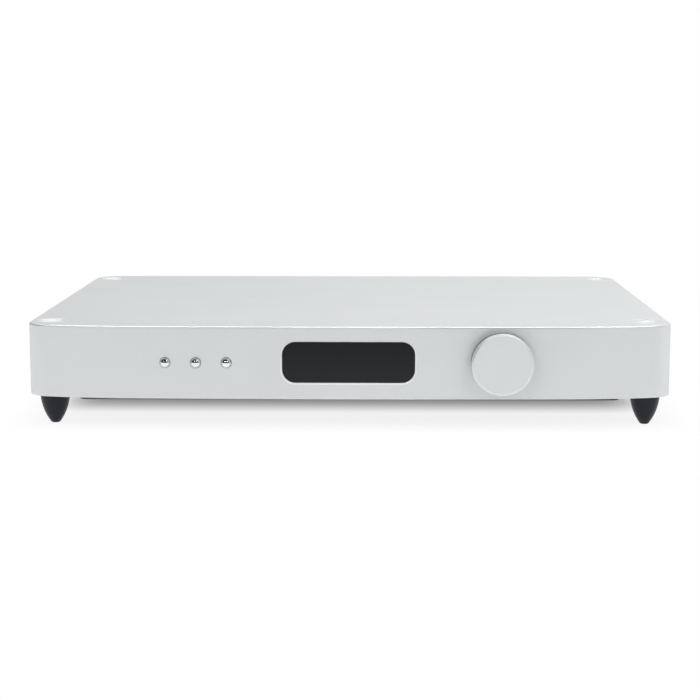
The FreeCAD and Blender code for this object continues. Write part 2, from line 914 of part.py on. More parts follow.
def lens_frame():
    y0 = front_inner
    y1 = y0 + frame_thickness
    plate = rounded_block(0, display_z, frame_width, frame_height, lens_flange_corner, y0, y1)
    window = centred_box(0, display_z, glass_width, glass_height, y0, y1)
    holes = [rod_y(x, z, thread_radius + screw_gap, y0, y1) for x, z in frame_screw_places()]
    return cut_all(plate, [window] + holes)


def display_module():
    """The display's carrier on the front board, with the glass panel set in its face."""
    y1 = front_board_front
    y0 = y1 - module_depth
    body = centred_box(0, display_z, module_width, module_height, y0, y1)
    seat_wide = glass_width + 2 * screw_gap
    seat_high = glass_height + 2 * screw_gap
    return body.cut(centred_box(0, display_z, seat_wide, seat_high, y0, y0 + glass_thickness))


def display_glass():
    y0 = front_board_front - module_depth
    return centred_box(0, display_z, glass_width, glass_height, y0, y0 + glass_thickness)


def front_board():
    y0 = front_board_front
    y1 = front_board_back
    plate = box(front_board_left, front_board_right, y0, y1, front_board_bottom, front_board_top)
    holes = [rod_y(x, z, thread_radius + screw_gap, y0, y1) for x, z in front_standoff_places()]
    return cut_all(plate, holes)


def front_pillar(x, z):
    """A pillar whose threaded end screws into the front wall."""
    body = rod_y(x, z, front_standoff_radius, front_inner, front_board_front)
    spigot_length = small_screw_length - board_thickness
    spigot = rod_y(x, z, thread_radius, front_inner - spigot_length, front_inner)
    hole = tapped_hole(V(x, front_board_front, z), Y_AXIS * -1, spigot_length)
    return join([body, spigot]).cut(hole)


def plunger_span():
    """Y of the switch plungers' front and rear ends at rest."""
    front = front_board_front - switch_height - plunger_proud
    return front, front + plunger_length


def key_switch(x):
    y0 = front_board_front - switch_height
    body = centred_box(x, button_z, switch_size, switch_size, y0, front_board_front)
    front, rear = plunger_span()
    bore = rod_y(x, button_z, plunger_radius + plunger_fit, front, rear + button_travel + plunger_fit)
    return body.cut(bore)


def plunger(x):
    front, rear = plunger_span()
    return rod_y(x, button_z, plunger_radius, front, rear)


def button_cap(x):
    """A chrome dome with a flange behind the wall and a stem to its switch."""
    crown = front_surface(x) - button_rise
    shoulder = crown + button_dome
    flange_back = front_inner + button_flange_thickness
    dome_radius = (button_radius ** 2 + button_dome ** 2) / (2 * button_dome)
    ball_centre = crown + dome_radius
    half_angle = math.asin(button_radius / dome_radius) / 2
    on_dome = V(dome_radius * math.sin(half_angle), ball_centre - dome_radius * math.cos(half_angle), 0)
    dome = Part.Arc(V(0, crown, 0), on_dome, V(button_radius, shoulder, 0)).toShape()
    stem_end = plunger_span()[0]
    rest = [
        V(button_radius, shoulder, 0),
        V(button_radius, front_inner, 0),
        V(button_flange_radius, front_inner, 0),
        V(button_flange_radius, flange_back, 0),
        V(button_stem_radius, flange_back, 0),
        V(button_stem_radius, stem_end, 0),
        V(0, stem_end, 0),
        V(0, crown, 0),
    ]
    face = Part.Face(Part.Wire([dome] + Part.makePolygon(rest).Edges))
    solid = face.revolve(V(0, 0, 0), Y_AXIS, 360)
    solid.translate(V(x, 0, button_z))
    return solid


def knob():
    """A hollow turned cap with a hub for the encoder shaft."""
    outer = rod_y(knob_x, knob_z, knob_radius, knob_front, knob_back)
    front_rim = [e for e in outer.Edges if abs(e.BoundBox.YMax - knob_front) < 1e-6]
    outer = outer.makeChamfer(knob_bevel, front_rim)
    hollow_front = knob_front + knob_face
    hollow = rod_y(knob_x, knob_z, knob_radius - knob_wall, hollow_front, knob_back)
    hub = rod_y(knob_x, knob_z, knob_hub_radius, hollow_front, knob_back)
    shell = outer.cut(hollow.cut(hub))
    bore = rod_y(knob_x, knob_z, shaft_radius + hub_fit, hollow_front - hub_fit, knob_back)
    middle = (hollow_front + knob_back) / 2
    below = knob_z - knob_radius - knob_wall
    wall_hole = rod_z(knob_x, middle, set_screw_radius + thread_gap, below, knob_z)
    return shell.cut(bore).cut(wall_hole)


def knob_shaft():
    start = knob_front + knob_face + shaft_end_gap
    return rod_y(knob_x, knob_z, shaft_radius, start, front_inner + shaft_depth_in_encoder)


def knob_set_screw():
    middle = (knob_front + knob_face + knob_back) / 2
    top = knob_z - shaft_radius
    return rod_z(knob_x, middle, set_screw_radius, top - set_screw_length, top - hub_fit)


def encoder_body():
    """The encoder's case on the front board and its threaded bush through the wall."""
    case = centred_box(knob_x, knob_z, encoder_size, encoder_size, front_inner, front_board_front)
    bush_front = front_surface(knob_x) - bush_proud
    bush = rod_y(knob_x, knob_z, bush_radius, bush_front, front_inner)
    bore_end = front_inner + shaft_depth_in_encoder + shaft_end_gap
    bore = rod_y(knob_x, knob_z, shaft_radius + shaft_fit, bush_front, bore_end)
    return join([case, bush]).cut(bore)


def nut_seat():
    return front_surface(knob_x) + nut_recess_depth


def encoder_washer():
    seat = nut_seat()
    disc = rod_y(knob_x, knob_z, washer_radius, seat - washer_thickness, seat)
    return disc.cut(rod_y(knob_x, knob_z, bush_radius + screw_gap, seat - washer_thickness, seat))


def hexagon(centre, flats, height, direction):
    """A hexagonal prism, flats apart as given, raised from its centre along Y or Z."""
    sides = 6
    reach = flats / 2 / math.cos(math.pi / sides)
    side = X_AXIS
    other = Y_AXIS if abs(direction.dot(Z_AXIS)) > 0.5 else Z_AXIS
    ring = []
    for step in range(sides + 1):
        angle = step * 2 * math.pi / sides
        ring.append(centre + side * (reach * math.cos(angle)) + other * (reach * math.sin(angle)))
    return Part.Face(Part.makePolygon(ring)).extrude(direction * height)


def encoder_nut():
    back = nut_seat() - washer_thickness
    body = hexagon(V(knob_x, back, knob_z), nut_flats, nut_thickness, Y_AXIS * -1)
    return body.cut(rod_y(knob_x, knob_z, bush_radius + thread_gap, back - nut_thickness, back))


def board(left, right, front, rear):
    plate = box(left, right, front, rear, board_bottom, board_top)
    radius = thread_radius + screw_gap
    places = board_corners(left, right, front, rear)
    return cut_all(plate, [rod_z(x, y, radius, board_bottom, board_top) for x, y in places])


def board_pillar(x, y):
    """A pillar clinched in the base plate."""
    body = rod_z(x, y, standoff_radius, base_top, board_bottom)
    spigot = rod_z(x, y, standoff_spigot_radius, base_bottom, base_top)
    hole = tapped_hole(V(x, y, board_bottom), Z_AXIS * -1, small_screw_length - board_thickness)
    return join([body, spigot]).cut(hole)


def block_on_board(x, y, wide, deep, high):
    return box(x - wide / 2, x + wide / 2, y - deep / 2, y + deep / 2, board_top, board_top + high)


def converter_chips():
    """A converter for each channel, the input receiver and the processor."""
    side = converter_chip_size
    places = [(x + channel_chip_aside, main_board_rear - channel_chip_rear) for x in channel_x]
    places.append((main_board_left + input_chip_left, main_board_rear - input_chip_rear))
    places.append((channel_x[0] - processor_aside, main_board_rear - processor_rear))
    return [block_on_board(x, y, side, side, chip_height) for x, y in places]


def clock_oscillators():
    """One oscillator for each family of sampling rates."""
    x = main_board_left + oscillator_left
    rear = main_board_rear - oscillator_rear
    size = (oscillator_width, oscillator_depth, oscillator_height)
    return [block_on_board(x, y, *size) for y in (rear - component_row_pitch, rear)]


def output_relays():
    y = main_board_rear - relay_rear
    columns = [main_board_right - relay_right - step * relay_pitch for step in relay_steps]
    return [block_on_board(x, y, relay_width, relay_depth, relay_height) for x in columns]


def filter_capacitors():
    top = board_top + filter_height
    rear = main_board_rear - filter_rear
    columns = [x + side * filter_pair_half for x in channel_x for side in (-1, 1)]
    rows = [rear - step * component_row_pitch for step in range(filter_row_count)]
    return [rod_z(x, y, filter_radius, board_top, top) for x in columns for y in rows]


def smoothing_capacitors():
    top = board_top + smoothing_height
    left = supply_board_left + smoothing_left
    columns = (left, left + smoothing_pitch_x)
    rows = [supply_board_front + share * supply_board_length for share in smoothing_row_shares]
    return [rod_z(x, y, smoothing_radius, board_top, top) for x in columns for y in rows]


def regulator_heatsink():
    """An extruded cooler: a back plate with upright fins."""
    y0 = heatsink_y
    y1 = y0 + heatsink_length
    z0 = board_top
    z1 = z0 + heatsink_height
    shapes = [box(heatsink_x, heatsink_x + heatsink_back, y0, y1, z0, z1)]
    pitch = (heatsink_length - heatsink_fin_thickness) / (heatsink_fin_count - 1)
    fin_end = heatsink_x + heatsink_back + heatsink_fin
    for index in range(heatsink_fin_count):
        y = y0 + index * pitch
        shapes.append(box(heatsink_x, fin_end, y, y + heatsink_fin_thickness, z0, z1))
    return join(shapes)


def regulators():
    """Three flat power devices clamped to the cooler's back."""
    shapes = []
    middle = heatsink_y + heatsink_length / 2
    z0 = board_top + regulator_lift
    for step in (-1, 0, 1):
        y = middle + step * regulator_pitch
        y0 = y - regulator_width / 2
        y1 = y + regulator_width / 2
        x0 = heatsink_x - regulator_thickness
        case = box(x0, heatsink_x, y0, y1, z0, z0 + regulator_height)
        legs_x = x0 + regulator_thickness / 2
        inset = regulator_width / 2 - regulator_legs_half
        legs = box(legs_x, legs_x + regulator_leg_thickness, y0 + inset, y1 - inset, board_top, z0)
        shapes.append(join([case, legs]))
    return shapes


def transformer_levels():
    bottom = base_top + pad_thickness
    return bottom, bottom + transformer_height


def transformer():
    """A wound ring: its section has well rounded corners."""
    bottom, top = transformer_levels()
    ring = rod_z(transformer_x, transformer_y, transformer_radius, bottom, top)
    ring = ring.cut(rod_z(transformer_x, transformer_y, transformer_bore, bottom, top))
    rims = [e for e in ring.Edges if isinstance(e.Curve, Part.Circle)]
    return ring.makeFillet(transformer_edge, rims)


def transformer_pads():
    shapes = []
    for z, radius in ((base_top, pad_radius), (transformer_levels()[1], disc_radius)):
        disc = rod_z(transformer_x, transformer_y, radius, z, z + pad_thickness)
        hole = rod_z(transformer_x, transformer_y, bolt_radius + screw_gap, z, z + pad_thickness)
        shapes.append(disc.cut(hole))
    return shapes


def transformer_disc():
    z = transformer_levels()[1] + pad_thickness
    disc = rod_z(transformer_x, transformer_y, disc_radius, z, z + disc_thickness)
    hole = rod_z(transformer_x, transformer_y, bolt_radius + screw_gap, z, z + disc_thickness)
    return disc.cut(hole)


def transformer_bolt():
    """The bolt from below the base plate, and the nut on the clamping disc."""
    top = transformer_levels()[1] + pad_thickness + disc_thickness
    head_bottom = base_bottom - bolt_head_height
    head = rod_z(transformer_x, transformer_y, bolt_head_radius, head_bottom, base_bottom)
    shank = rod_z(transformer_x, transformer_y, bolt_radius, base_bottom, top + bolt_below)
    nut = hexagon(V(transformer_x, transformer_y, top), 2 * bolt_head_radius, bolt_nut_height, Z_AXIS)
    nut = nut.cut(rod_z(transformer_x, transformer_y, bolt_radius + thread_gap, top, top + bolt_nut_height))
    return [join([head, shank]), nut]


def inlet_socket_z():
    return rear_z + socket_rise


def inlet_front():
    return panel_outer + inlet_flange


def inlet_back():
    return panel_outer - inlet_depth


def drawer_z():
    return rear_z - drawer_drop


def inlet_pin_places():
    z = inlet_socket_z()
    low = z - pin_offset
    return [(inlet_x - pin_spread, low), (inlet_x, z + pin_offset), (inlet_x + pin_spread, low)]


def inlet_body():
    """The mains inlet: a keyed socket above the fuse drawer's pocket."""
    x = inlet_x
    front = inlet_front()
    flange = rounded_block(x, rear_z, inlet_width, inlet_height, inlet_corner, panel_outer, front)
    wide = inlet_body_width
    body = rounded_block(x, rear_z, wide, inlet_body_height, inlet_corner, inlet_back(), panel_outer)
    z = inlet_socket_z()
    socket = centred_box(x, z, socket_width, socket_height, front - socket_depth, front)
    keys = [e for e in edges_along(socket, Y_AXIS) if e.CenterOfMass.z > z]
    socket = socket.makeChamfer(socket_chamfer, keys)
    pocket_wide = drawer_width + 2 * drawer_gap
    pocket_high = drawer_height + 2 * drawer_gap
    pocket_back = front - drawer_depth - drawer_end_gap
    pocket = centred_box(x, drawer_z(), pocket_wide, pocket_high, pocket_back, front)
    slots = []
    for pin_x, pin_z in inlet_pin_places():
        slots.append(centred_box(pin_x, pin_z, pin_width, pin_height, inlet_back(), front))
    return cut_all(join([flange, body]), [socket, pocket] + slots)


def inlet_pins():
    start = inlet_back() - tab_length
    end = inlet_front() - pin_recess
    return [centred_box(x, z, pin_width, pin_height, start, end) for x, z in inlet_pin_places()]


def fuse_span():
    """Y of the fuse cartridge's ends in its drawer."""
    start = inlet_front() - drawer_depth + drawer_lip
    return start, start + fuse_length


def fuse_drawer():
    """The drawer, open above, with a trough for the fuse."""
    front = inlet_front()
    body = centred_box(inlet_x, drawer_z(), drawer_width, drawer_height, front - drawer_depth, front)
    start, end = fuse_span()
    radius = fuse_radius + fuse_gap
    trough = rod_y(inlet_x, drawer_z(), radius, start - fuse_gap, end + fuse_gap)
    z = drawer_z()
    x = inlet_x
    mouth = box(x - radius, x + radius, start - fuse_gap, end + fuse_gap, z, z + drawer_height)
    return cut_all(body, [trough, mouth])


def fuse():
    start, end = fuse_span()
    return rod_y(inlet_x, drawer_z(), fuse_radius, start, end)


def rocker_pivot():
    return V(rocker_x, panel_outer - rocker_pivot_inset, rear_z)


def rocker_housing():
    """The switch's case, its bezel and its four tabs."""
    cavity_half_width = rocker_half_width + rocker_side_gap
    back = panel_outer - rocker_housing_depth
    front = panel_outer + rocker_bezel_thickness
    wide = 2 * rocker_housing_half_width
    high = 2 * rocker_housing_half_height
    body = centred_box(rocker_x, rear_z, wide, high, back, panel_outer)
    rim_wide = wide + 2 * rocker_bezel
    rim_high = high + 2 * rocker_bezel
    bezel = rounded_block(rocker_x, rear_z, rim_wide, rim_high, rocker_bezel, panel_outer, front)
    pivot = rocker_pivot()
    cavity_back = pivot.y - rocker_half_height
    cavity_wide = 2 * cavity_half_width
    cavity_high = 2 * rocker_cavity_half_height
    cavity = centred_box(rocker_x, rear_z, cavity_wide, cavity_high, cavity_back, front)
    reach = rocker_pin_reach + rocker_pin_fit
    holes = rod_x(pivot.y, pivot.z, rocker_pin_radius + rocker_pin_fit, rocker_x - reach, rocker_x + reach)
    tabs = []
    for sx in (-1, 1):
        for sz in (-1, 1):
            x = rocker_x + sx * switch_tab_x
            z = rear_z + sz * switch_tab_z
            tabs.append(centred_box(x, z, pin_width / 2, pin_height, back - switch_tab_length, back))
    return join([body, bezel] + tabs).cut(cavity).cut(holes)


def rocker():
    """The paddle, modelled pressed in at the bottom, with its pivot pins."""
    pivot = rocker_pivot()
    rise = rocker_half_height * math.tan(math.radians(rocker_tilt))
    profile = [
        V(0, rocker_face, 0),
        V(0, rocker_face + rise, rocker_half_height),
        V(0, 0, rocker_half_height),
        V(0, -rocker_back, rocker_half_height / 2),
        V(0, -rocker_back, -rocker_half_height / 2),
        V(0, 0, -rocker_half_height),
        V(0, rocker_face + rise, -rocker_half_height),
        V(0, rocker_face, 0),
    ]
    face = Part.Face(Part.makePolygon(profile))
    face.translate(V(-rocker_half_width, 0, 0))
    paddle = face.extrude(V(2 * rocker_half_width, 0, 0))
    pins = rod_x(0, 0, rocker_pin_radius, -rocker_pin_reach, rocker_pin_reach)
    solid = join([paddle, pins])
    solid.rotate(V(0, 0, 0), X_AXIS, -rocker_tilt)
    solid.translate(pivot)
    return solid


def xlr_flange(x):
    front = panel_outer + xlr_flange_thickness
    size = (xlr_flange_width, xlr_flange_height, xlr_flange_corner)
    plate = rounded_block(x, rear_z, *size, panel_outer, front)
    radius = thread_radius + screw_gap
    return cut_all(plate, [rod_y(sx, sz, radius, panel_outer, front) for sx, sz in xlr_screw_places(x)])


def xlr_pin_places(x):
    high = rear_z + xlr_pin_high
    return [(x - xlr_pin_spread, high), (x + xlr_pin_spread, high), (x, rear_z - xlr_pin_low)]


def xlr_back_plane():
    return panel_outer - xlr_depth - xlr_back


def xlr_output_shell(x):
    """A male panel connector: a flanged cup with a thick back that holds the pins."""
    front = panel_outer + xlr_flange_thickness
    body = rod_y(x, rear_z, xlr_body_radius, xlr_back_plane(), panel_outer)
    cavity = rod_y(x, rear_z, xlr_cavity_radius, panel_outer - xlr_depth, front)
    holes = [rod_y(px, pz, xlr_pin_radius, xlr_back_plane(), front) for px, pz in xlr_pin_places(x)]
    return cut_all(join([xlr_flange(x), body]), [cavity] + holes)


def xlr_output_pins():
    start = xlr_back_plane() - xlr_pin_tail
    end = panel_outer + xlr_flange_thickness - xlr_pin_recess
    pins = []
    for x in xlr_output_x:
        pins += [rod_y(px, pz, xlr_pin_radius, start, end) for px, pz in xlr_pin_places(x)]
    return pins


def latch_box(grow, y0, y1):
    z = rear_z + latch_rise
    return centred_box(xlr_input_x, z, latch_width + 2 * grow, latch_height + 2 * grow, y0, y1)


def latch_housing(grow):
    """The raised part of the input connector's body that the latch slides in."""
    half = latch_width / 2 + latch_gap + latch_housing_wall + grow
    top = rear_z + latch_rise + latch_height / 2 + latch_gap + latch_housing_wall + grow
    x = xlr_input_x
    return box(x - half, x + half, xlr_back_plane(), panel_outer, rear_z, top)


def xlr_input_shell():
    """A female panel connector with a ring slot, three contact holes and a latch slot."""
    x = xlr_input_x
    front = panel_outer + xlr_flange_thickness
    body = rod_y(x, rear_z, xlr_body_radius, xlr_back_plane(), panel_outer)
    slot_back = front - xlr_contact_depth
    slot = rod_y(x, rear_z, xlr_slot_outer, slot_back, front)
    slot = slot.cut(rod_y(x, rear_z, xlr_slot_inner, slot_back, front))
    holes = [rod_y(px, pz, xlr_contact_radius, slot_back, front) for px, pz in xlr_pin_places(x)]
    guide_back = front + latch_proud - latch_length - latch_travel - latch_gap
    guide = latch_box(latch_gap, guide_back, front)
    return cut_all(join([xlr_flange(x), body, latch_housing(0)]), [slot, guide] + holes)


def xlr_latch():
    """The push tab that frees the plug."""
    front = panel_outer + xlr_flange_thickness + latch_proud
    return latch_box(0, front - latch_length, front)


def phono_jack(x, z):
    flange_front = panel_outer + phono_flange_thickness
    back = panel_inner - phono_depth
    barrel = rod_y(x, z, phono_barrel_radius, back, panel_outer)
    flange = hexagon(V(x, panel_outer, z), phono_flange_flats, phono_flange_thickness, Y_AXIS)
    sleeve = rod_y(x, z, phono_sleeve_radius, flange_front, phono_tip)
    bore = rod_y(x, z, phono_bore_radius, back + phono_back, phono_tip)
    return join([barrel, flange, sleeve]).cut(bore)


def phono_insulator(x, z):
    start = panel_inner - phono_depth + phono_back
    end = phono_tip - insulator_recess
    ring = rod_y(x, z, phono_bore_radius - insulator_gap, start, end)
    return ring.cut(rod_y(x, z, insulator_bore, end - insulator_bore_depth, end))


def optical_front():
    return panel_outer + optical_proud


def shutter_axis():
    """Y and z of the shutter's hinge."""
    y = optical_front() - shutter_recess - shutter_barrel
    z = rear_z + optical_cavity / 2 - shutter_gap - shutter_barrel
    return y, z


def optical_housing():
    front = optical_front()
    body = centred_box(optical_x, rear_z, optical_width, optical_height, front - optical_depth, front)
    floor = front - optical_cavity_depth
    cavity = centred_box(optical_x, rear_z, optical_cavity, optical_cavity, floor, front)
    y, z = shutter_axis()
    reach = optical_cavity / 2 + shutter_pin_reach + shutter_pin_fit
    radius = shutter_pin_radius + shutter_pin_fit
    pivot = rod_x(y, z, radius, optical_x - reach, optical_x + reach)
    return body.cut(cavity).cut(pivot)


def optical_shutter():
    """A flap on two small pins, which swings inward as a plug goes in."""
    y, z = shutter_axis()
    half = optical_cavity / 2 - shutter_gap
    front = y + shutter_barrel
    bottom = rear_z - optical_cavity / 2 + shutter_gap
    flap = box(optical_x - half, optical_x + half, front - shutter_thickness, front, bottom, z)
    barrel = rod_x(y, z, shutter_barrel, optical_x - half, optical_x + half)
    reach = optical_cavity / 2 + shutter_pin_reach
    pins = rod_x(y, z, shutter_pin_radius, optical_x - reach, optical_x + reach)
    return join([flap, barrel, pins])


def usb_socket():
    """A square data socket: a metal box and the tongue inside it."""
    front = panel_outer + usb_proud
    body = centred_box(usb_x, rear_z, usb_width, usb_height, front - usb_depth, front)
    cavity_back = front - usb_cavity_depth
    cavity = centred_box(usb_x, rear_z, usb_cavity_width, usb_cavity_height, cavity_back, front)
    keys = [e for e in edges_along(cavity, Y_AXIS) if e.CenterOfMass.z > rear_z]
    cavity = cavity.makeChamfer(usb_chamfer, keys)
    tongue_front = cavity_back + usb_tongue_length
    tongue = centred_box(usb_x, rear_z, usb_tongue_width, usb_tongue_height, cavity_back, tongue_front)
    return [body.cut(cavity), tongue]


def unit(vector):
    return V(vector.x, vector.y, vector.z).normalize()


def routed_edges(points, name):
    """Straight runs through the points, joined by tangent arcs."""
    edges = []
    start = points[0]
    radii = []
    for before, corner, after in zip(points, points[1:], points[2:]):
        into = corner - before
        out = after - corner
        turn = into.getAngle(out)
        reach = bend_share * min(into.Length, out.Length)
        radius = reach / math.tan(turn / 2)
        radii.append(radius)
        arc_start = corner - unit(into) * reach
        arc_end = corner + unit(out) * reach
        inward = unit(unit(out) - unit(into))
        middle = corner + inward * (radius / math.cos(turn / 2) - radius)
        edges.append(Part.makeLine(start, arc_start))
        edges.append(Part.Arc(arc_start, middle, arc_end).toShape())
        start = arc_end
    edges.append(Part.makeLine(start, points[-1]))
    print(name, "bend radii", " ".join("%.1f" % r for r in radii))
    return edges


def lead(points, radius, name):
    """A round lead along a route of hand-chosen points."""
    edges = routed_edges(points, name)
    path = Part.Wire(edges)
    ring = Part.Wire(Part.makeCircle(radius, points[0], points[1] - points[0]))
    solid = path.makePipeShell([ring], True, False)
    share = solid.Volume / (math.pi * radius ** 2 * path.Length)
    print(name, "volume over section times length %.3f" % share)
    return solid


def mains_leads():
    """Inlet to switch, switch to supply board, and the earth lead."""
    inlet_end = inlet_back() - tab_length - lead_end_gap
    switch_end = panel_outer - rocker_housing_depth - switch_tab_length - lead_end_gap
    low_pin_z = inlet_pin_places()[0][1]
    upper = rear_z + switch_tab_z
    lower = rear_z - switch_tab_z
    board_entry = supply_board_rear + lead_end_gap
    left_tab = rocker_x - switch_tab_x
    right_tab = rocker_x + switch_tab_x
    near_pin = inlet_x + pin_spread
    far_pin = inlet_x - pin_spread
    lead_step = (inlet_end - board_entry) * lead_step_share

    def at(x, steps_back, steps_up):
        return V(x, board_entry + steps_back * lead_step, rear_z + steps_up * lead_step)

    near = [V(near_pin, inlet_end, low_pin_z), at(near_pin, 2.5, 1.0)]
    near += [at(near_pin + 1.6 * lead_step, 0.5, 1.0), at(left_tab - 1.7 * lead_step, 0.5, 1.0)]
    near += [at(left_tab, 2.5, 1.0), V(left_tab, switch_end, upper)]
    far = [V(far_pin, inlet_end, low_pin_z), at(far_pin, 2.4, 1.2)]
    far += [at(far_pin + 1.6 * lead_step, -0.5, 2.0), at(inlet_x + 3.6 * lead_step, -1.1, 2.2)]
    far += [at(rocker_x - 1.2 * lead_step, -0.5, 2.0), at(right_tab, 2.4, 1.4)]
    far += [V(right_tab, switch_end, upper)]
    earth_z = inlet_pin_places()[1][1]
    bend_start = board_entry + 3.3 * lead_step
    earth = [V(inlet_x, inlet_end, earth_z), V(inlet_x, bend_start, earth_z)]
    earth += [at(inlet_x, 1.7, -1.4), at(inlet_x, 0.0, -1.6)]
    shapes = [
        lead(near, mains_lead_radius, "inlet to switch, near"),
        lead(far, mains_lead_radius, "inlet to switch, far"),
        lead(earth, mains_lead_radius, "earth"),
    ]
    for tab_x in (left_tab, right_tab):
        route = [V(tab_x, switch_end, lower), at(tab_x, 4.1, -1.1)]
        route += [at(tab_x, 1.9, -1.8), at(tab_x, 0.0, -1.8)]
        shapes.append(lead(route, mains_lead_radius, "switch to board"))
    return shapes


def secondary_leads():
    """Four leads from the transformer's rear to the supply board's edge connector."""
    start = transformer_y + transformer_radius + lead_end_gap
    end = secondary_header_front() - lead_end_gap
    run = end - start
    high = board_top + header_height * 2
    low = board_top + header_height / 2
    shapes = []
    for step in range(secondary_lead_count):
        x = transformer_x + (step - (secondary_lead_count - 1) / 2) * secondary_lead_pitch
        route = [V(x, start, high), V(x, start + 0.4 * run, high)]
        route += [V(x, start + 0.7 * run, low + header_height / 4), V(x, end, low)]
        shapes.append(lead(route, supply_lead_radius, "secondary"))
    return shapes


def secondary_header_front():
    return supply_board_front + board_margin + head_radius + connector_gap


def harness_ends():
    """X of the two headers' facing sides."""
    return supply_board_right - connector_setback, main_board_left + connector_setback


def supply_harness():
    """Thin leads across the gap between the two boards."""
    out_end, into_start = harness_ends()
    start = out_end + connector_gap
    end = into_start - connector_gap
    level = board_top + header_height / 2
    crest = level + harness_rise
    shapes = []
    for step in range(harness_count):
        y = harness_y + (step - (harness_count - 1) / 2) * harness_pitch
        route = [V(start, y, level), V(start + harness_shoulder, y, crest)]
        route += [V(end - harness_shoulder, y, crest), V(end, y, level)]
        shapes.append(lead(route, supply_lead_radius, "supply harness"))
    return shapes


def board_connectors():
    """Plastic headers and terminal blocks that the leads and the ribbon meet."""
    z0 = board_top
    header_top = z0 + header_height
    terminal_top = z0 + terminal_height
    ribbon = ribbon_width / 2 + header_end
    back = front_board_back
    low = ribbon_z - header_depth / 2
    front_header = box(-ribbon, ribbon, back, back + header_depth, low, low + header_depth)
    ribbon_y = main_header_y
    main_header = box(-ribbon, ribbon, ribbon_y, ribbon_y + header_depth, z0, header_top)
    y = secondary_header_front()
    half = (secondary_lead_count * secondary_lead_pitch) / 2
    x = transformer_x
    secondary = box(x - half, x + half, y, y + header_depth, z0, header_top)
    rear = supply_board_rear
    front = rear - terminal_depth
    half = earth_terminal_width / 2
    earth = box(inlet_x - half, inlet_x + half, front, rear, z0, terminal_top)
    half = mains_terminal_width / 2
    mains = box(rocker_x - half, rocker_x + half, front, rear, z0, terminal_top)
    out_end, into_start = harness_ends()
    half = harness_count * harness_pitch / 2
    near = harness_y - half
    far = harness_y + half
    out = box(out_end - header_depth, out_end, near, far, z0, header_top)
    into = box(into_start, into_start + header_depth, near, far, z0, header_top)
    return [front_header, main_header, secondary, earth, mains, out, into]


def front_ribbon():
    """A flat cable from the front board down to the main board."""
    front = front_board_back + header_depth + connector_gap
    end = main_header_y - connector_gap
    run = end - front
    level = board_top + header_height / 2
    raised = level + ribbon_thickness
    route = [
        V(0, front, ribbon_z), V(0, front + 0.2 * run, ribbon_z), V(0, front + 0.4 * run, raised),
        V(0, front + 0.7 * run, raised), V(0, end, level),
    ]
    edges = routed_edges(route, "front ribbon")
    path = Part.Wire(edges)
    half_wide = ribbon_width / 2
    half_thick = ribbon_thickness / 2
    start = route[0]
    ring = [
        V(-half_wide, start.y, start.z - half_thick),
        V(half_wide, start.y, start.z - half_thick),
        V(half_wide, start.y, start.z + half_thick),
        V(-half_wide, start.y, start.z + half_thick),
    ]
    profile = Part.makePolygon(ring + ring[:1])
    solid = path.makePipeShell([profile], True, False)
    share = solid.Volume / (ribbon_width * ribbon_thickness * path.Length)
    print("front ribbon volume over section times length %.3f" % share)
    return solid


def pieces():
    """Every node's name with its shape, or its list of like shapes."""
    named = {
        "case_shell": case_shell(),
        "base_plate": base_plate(),
        "rear_panel": rear_panel(),
        "feet": [foot(x, y) for x, y in corners],
        "foot_studs": [foot_stud(x, y) for x, y in corners],
        "stacking_cups": [stacking_cup(x, y) for x, y in corners],
        "case_screws": case_screws(),
        "small_screws": small_screws(),
        "display_lens": display_lens(),
        "lens_frame": lens_frame(),
        "display_module": [display_module(), display_glass()],
        "front_board": front_board(),
        "front_standoffs": [front_pillar(x, z) for x, z in front_standoff_places()],
        "key_switches": [key_switch(x) for x in button_x],
        "encoder_body": encoder_body(),
        "encoder_washer": encoder_washer(),
        "encoder_nut": encoder_nut(),
        "knob": knob(),
        "knob_shaft": knob_shaft(),
        "knob_set_screw": knob_set_screw(),
        "main_board": board(*main_board_edges),
        "supply_board": board(*supply_board_edges),
        "board_standoffs": [board_pillar(x, y) for x, y in standoff_places()],
        "board_connectors": board_connectors(),
        "converter_chips": converter_chips(),
        "clock_oscillators": clock_oscillators(),
        "output_relays": output_relays(),
        "filter_capacitors": filter_capacitors(),
        "smoothing_capacitors": smoothing_capacitors(),
        "regulator_heatsink": regulator_heatsink(),
        "regulators": regulators(),
        "transformer": transformer(),
        "transformer_pads": transformer_pads(),
        "transformer_disc": transformer_disc(),
        "transformer_bolt": transformer_bolt(),
        "front_ribbon": front_ribbon(),
        "mains_leads": mains_leads(),
        "secondary_leads": secondary_leads(),
        "supply_harness": supply_harness(),
        "inlet_body": inlet_body(),
        "inlet_pins": inlet_pins(),
        "fuse_drawer": fuse_drawer(),
        "fuse": fuse(),
        "rocker_housing": rocker_housing(),
        "rocker": rocker(),
        "xlr_output_shells": [xlr_output_shell(x) for x in xlr_output_x],
        "xlr_output_pins": xlr_output_pins(),
        "xlr_input_shell": xlr_input_shell(),
        "xlr_latch": xlr_latch(),
        "phono_jacks": [phono_jack(x, z) for x, z in phono_places()],
        "phono_insulators": [phono_insulator(x, z) for x, z in phono_places()],
        "optical_housing": optical_housing(),
        "optical_shutter": optical_shutter(),
        "usb_socket": usb_socket(),
    }
    for name, x in zip(button_names, button_x):
        named["button_" + name] = button_cap(x)
        named["plunger_" + name] = plunger(x)
    return named


def save(name, shapes):
    """One STEP file per node, from one solid or a group of like solids."""
    if not isinstance(shapes, list):
        shapes = [shapes]
    solids = []
    for shape in shapes:
        solids += shape.Solids
    for solid in solids:
        if not solid.isValid() or solid.Volume <= 0:
            raise ValueError(name + " has a bad solid")
    whole = solids[0] if len(solids) == 1 else Part.makeCompound(solids)
    whole.exportStep("parts/" + name + ".step")
    print(name, len(solids), "solids", "%.1f mm3" % sum(s.Volume for s in solids))


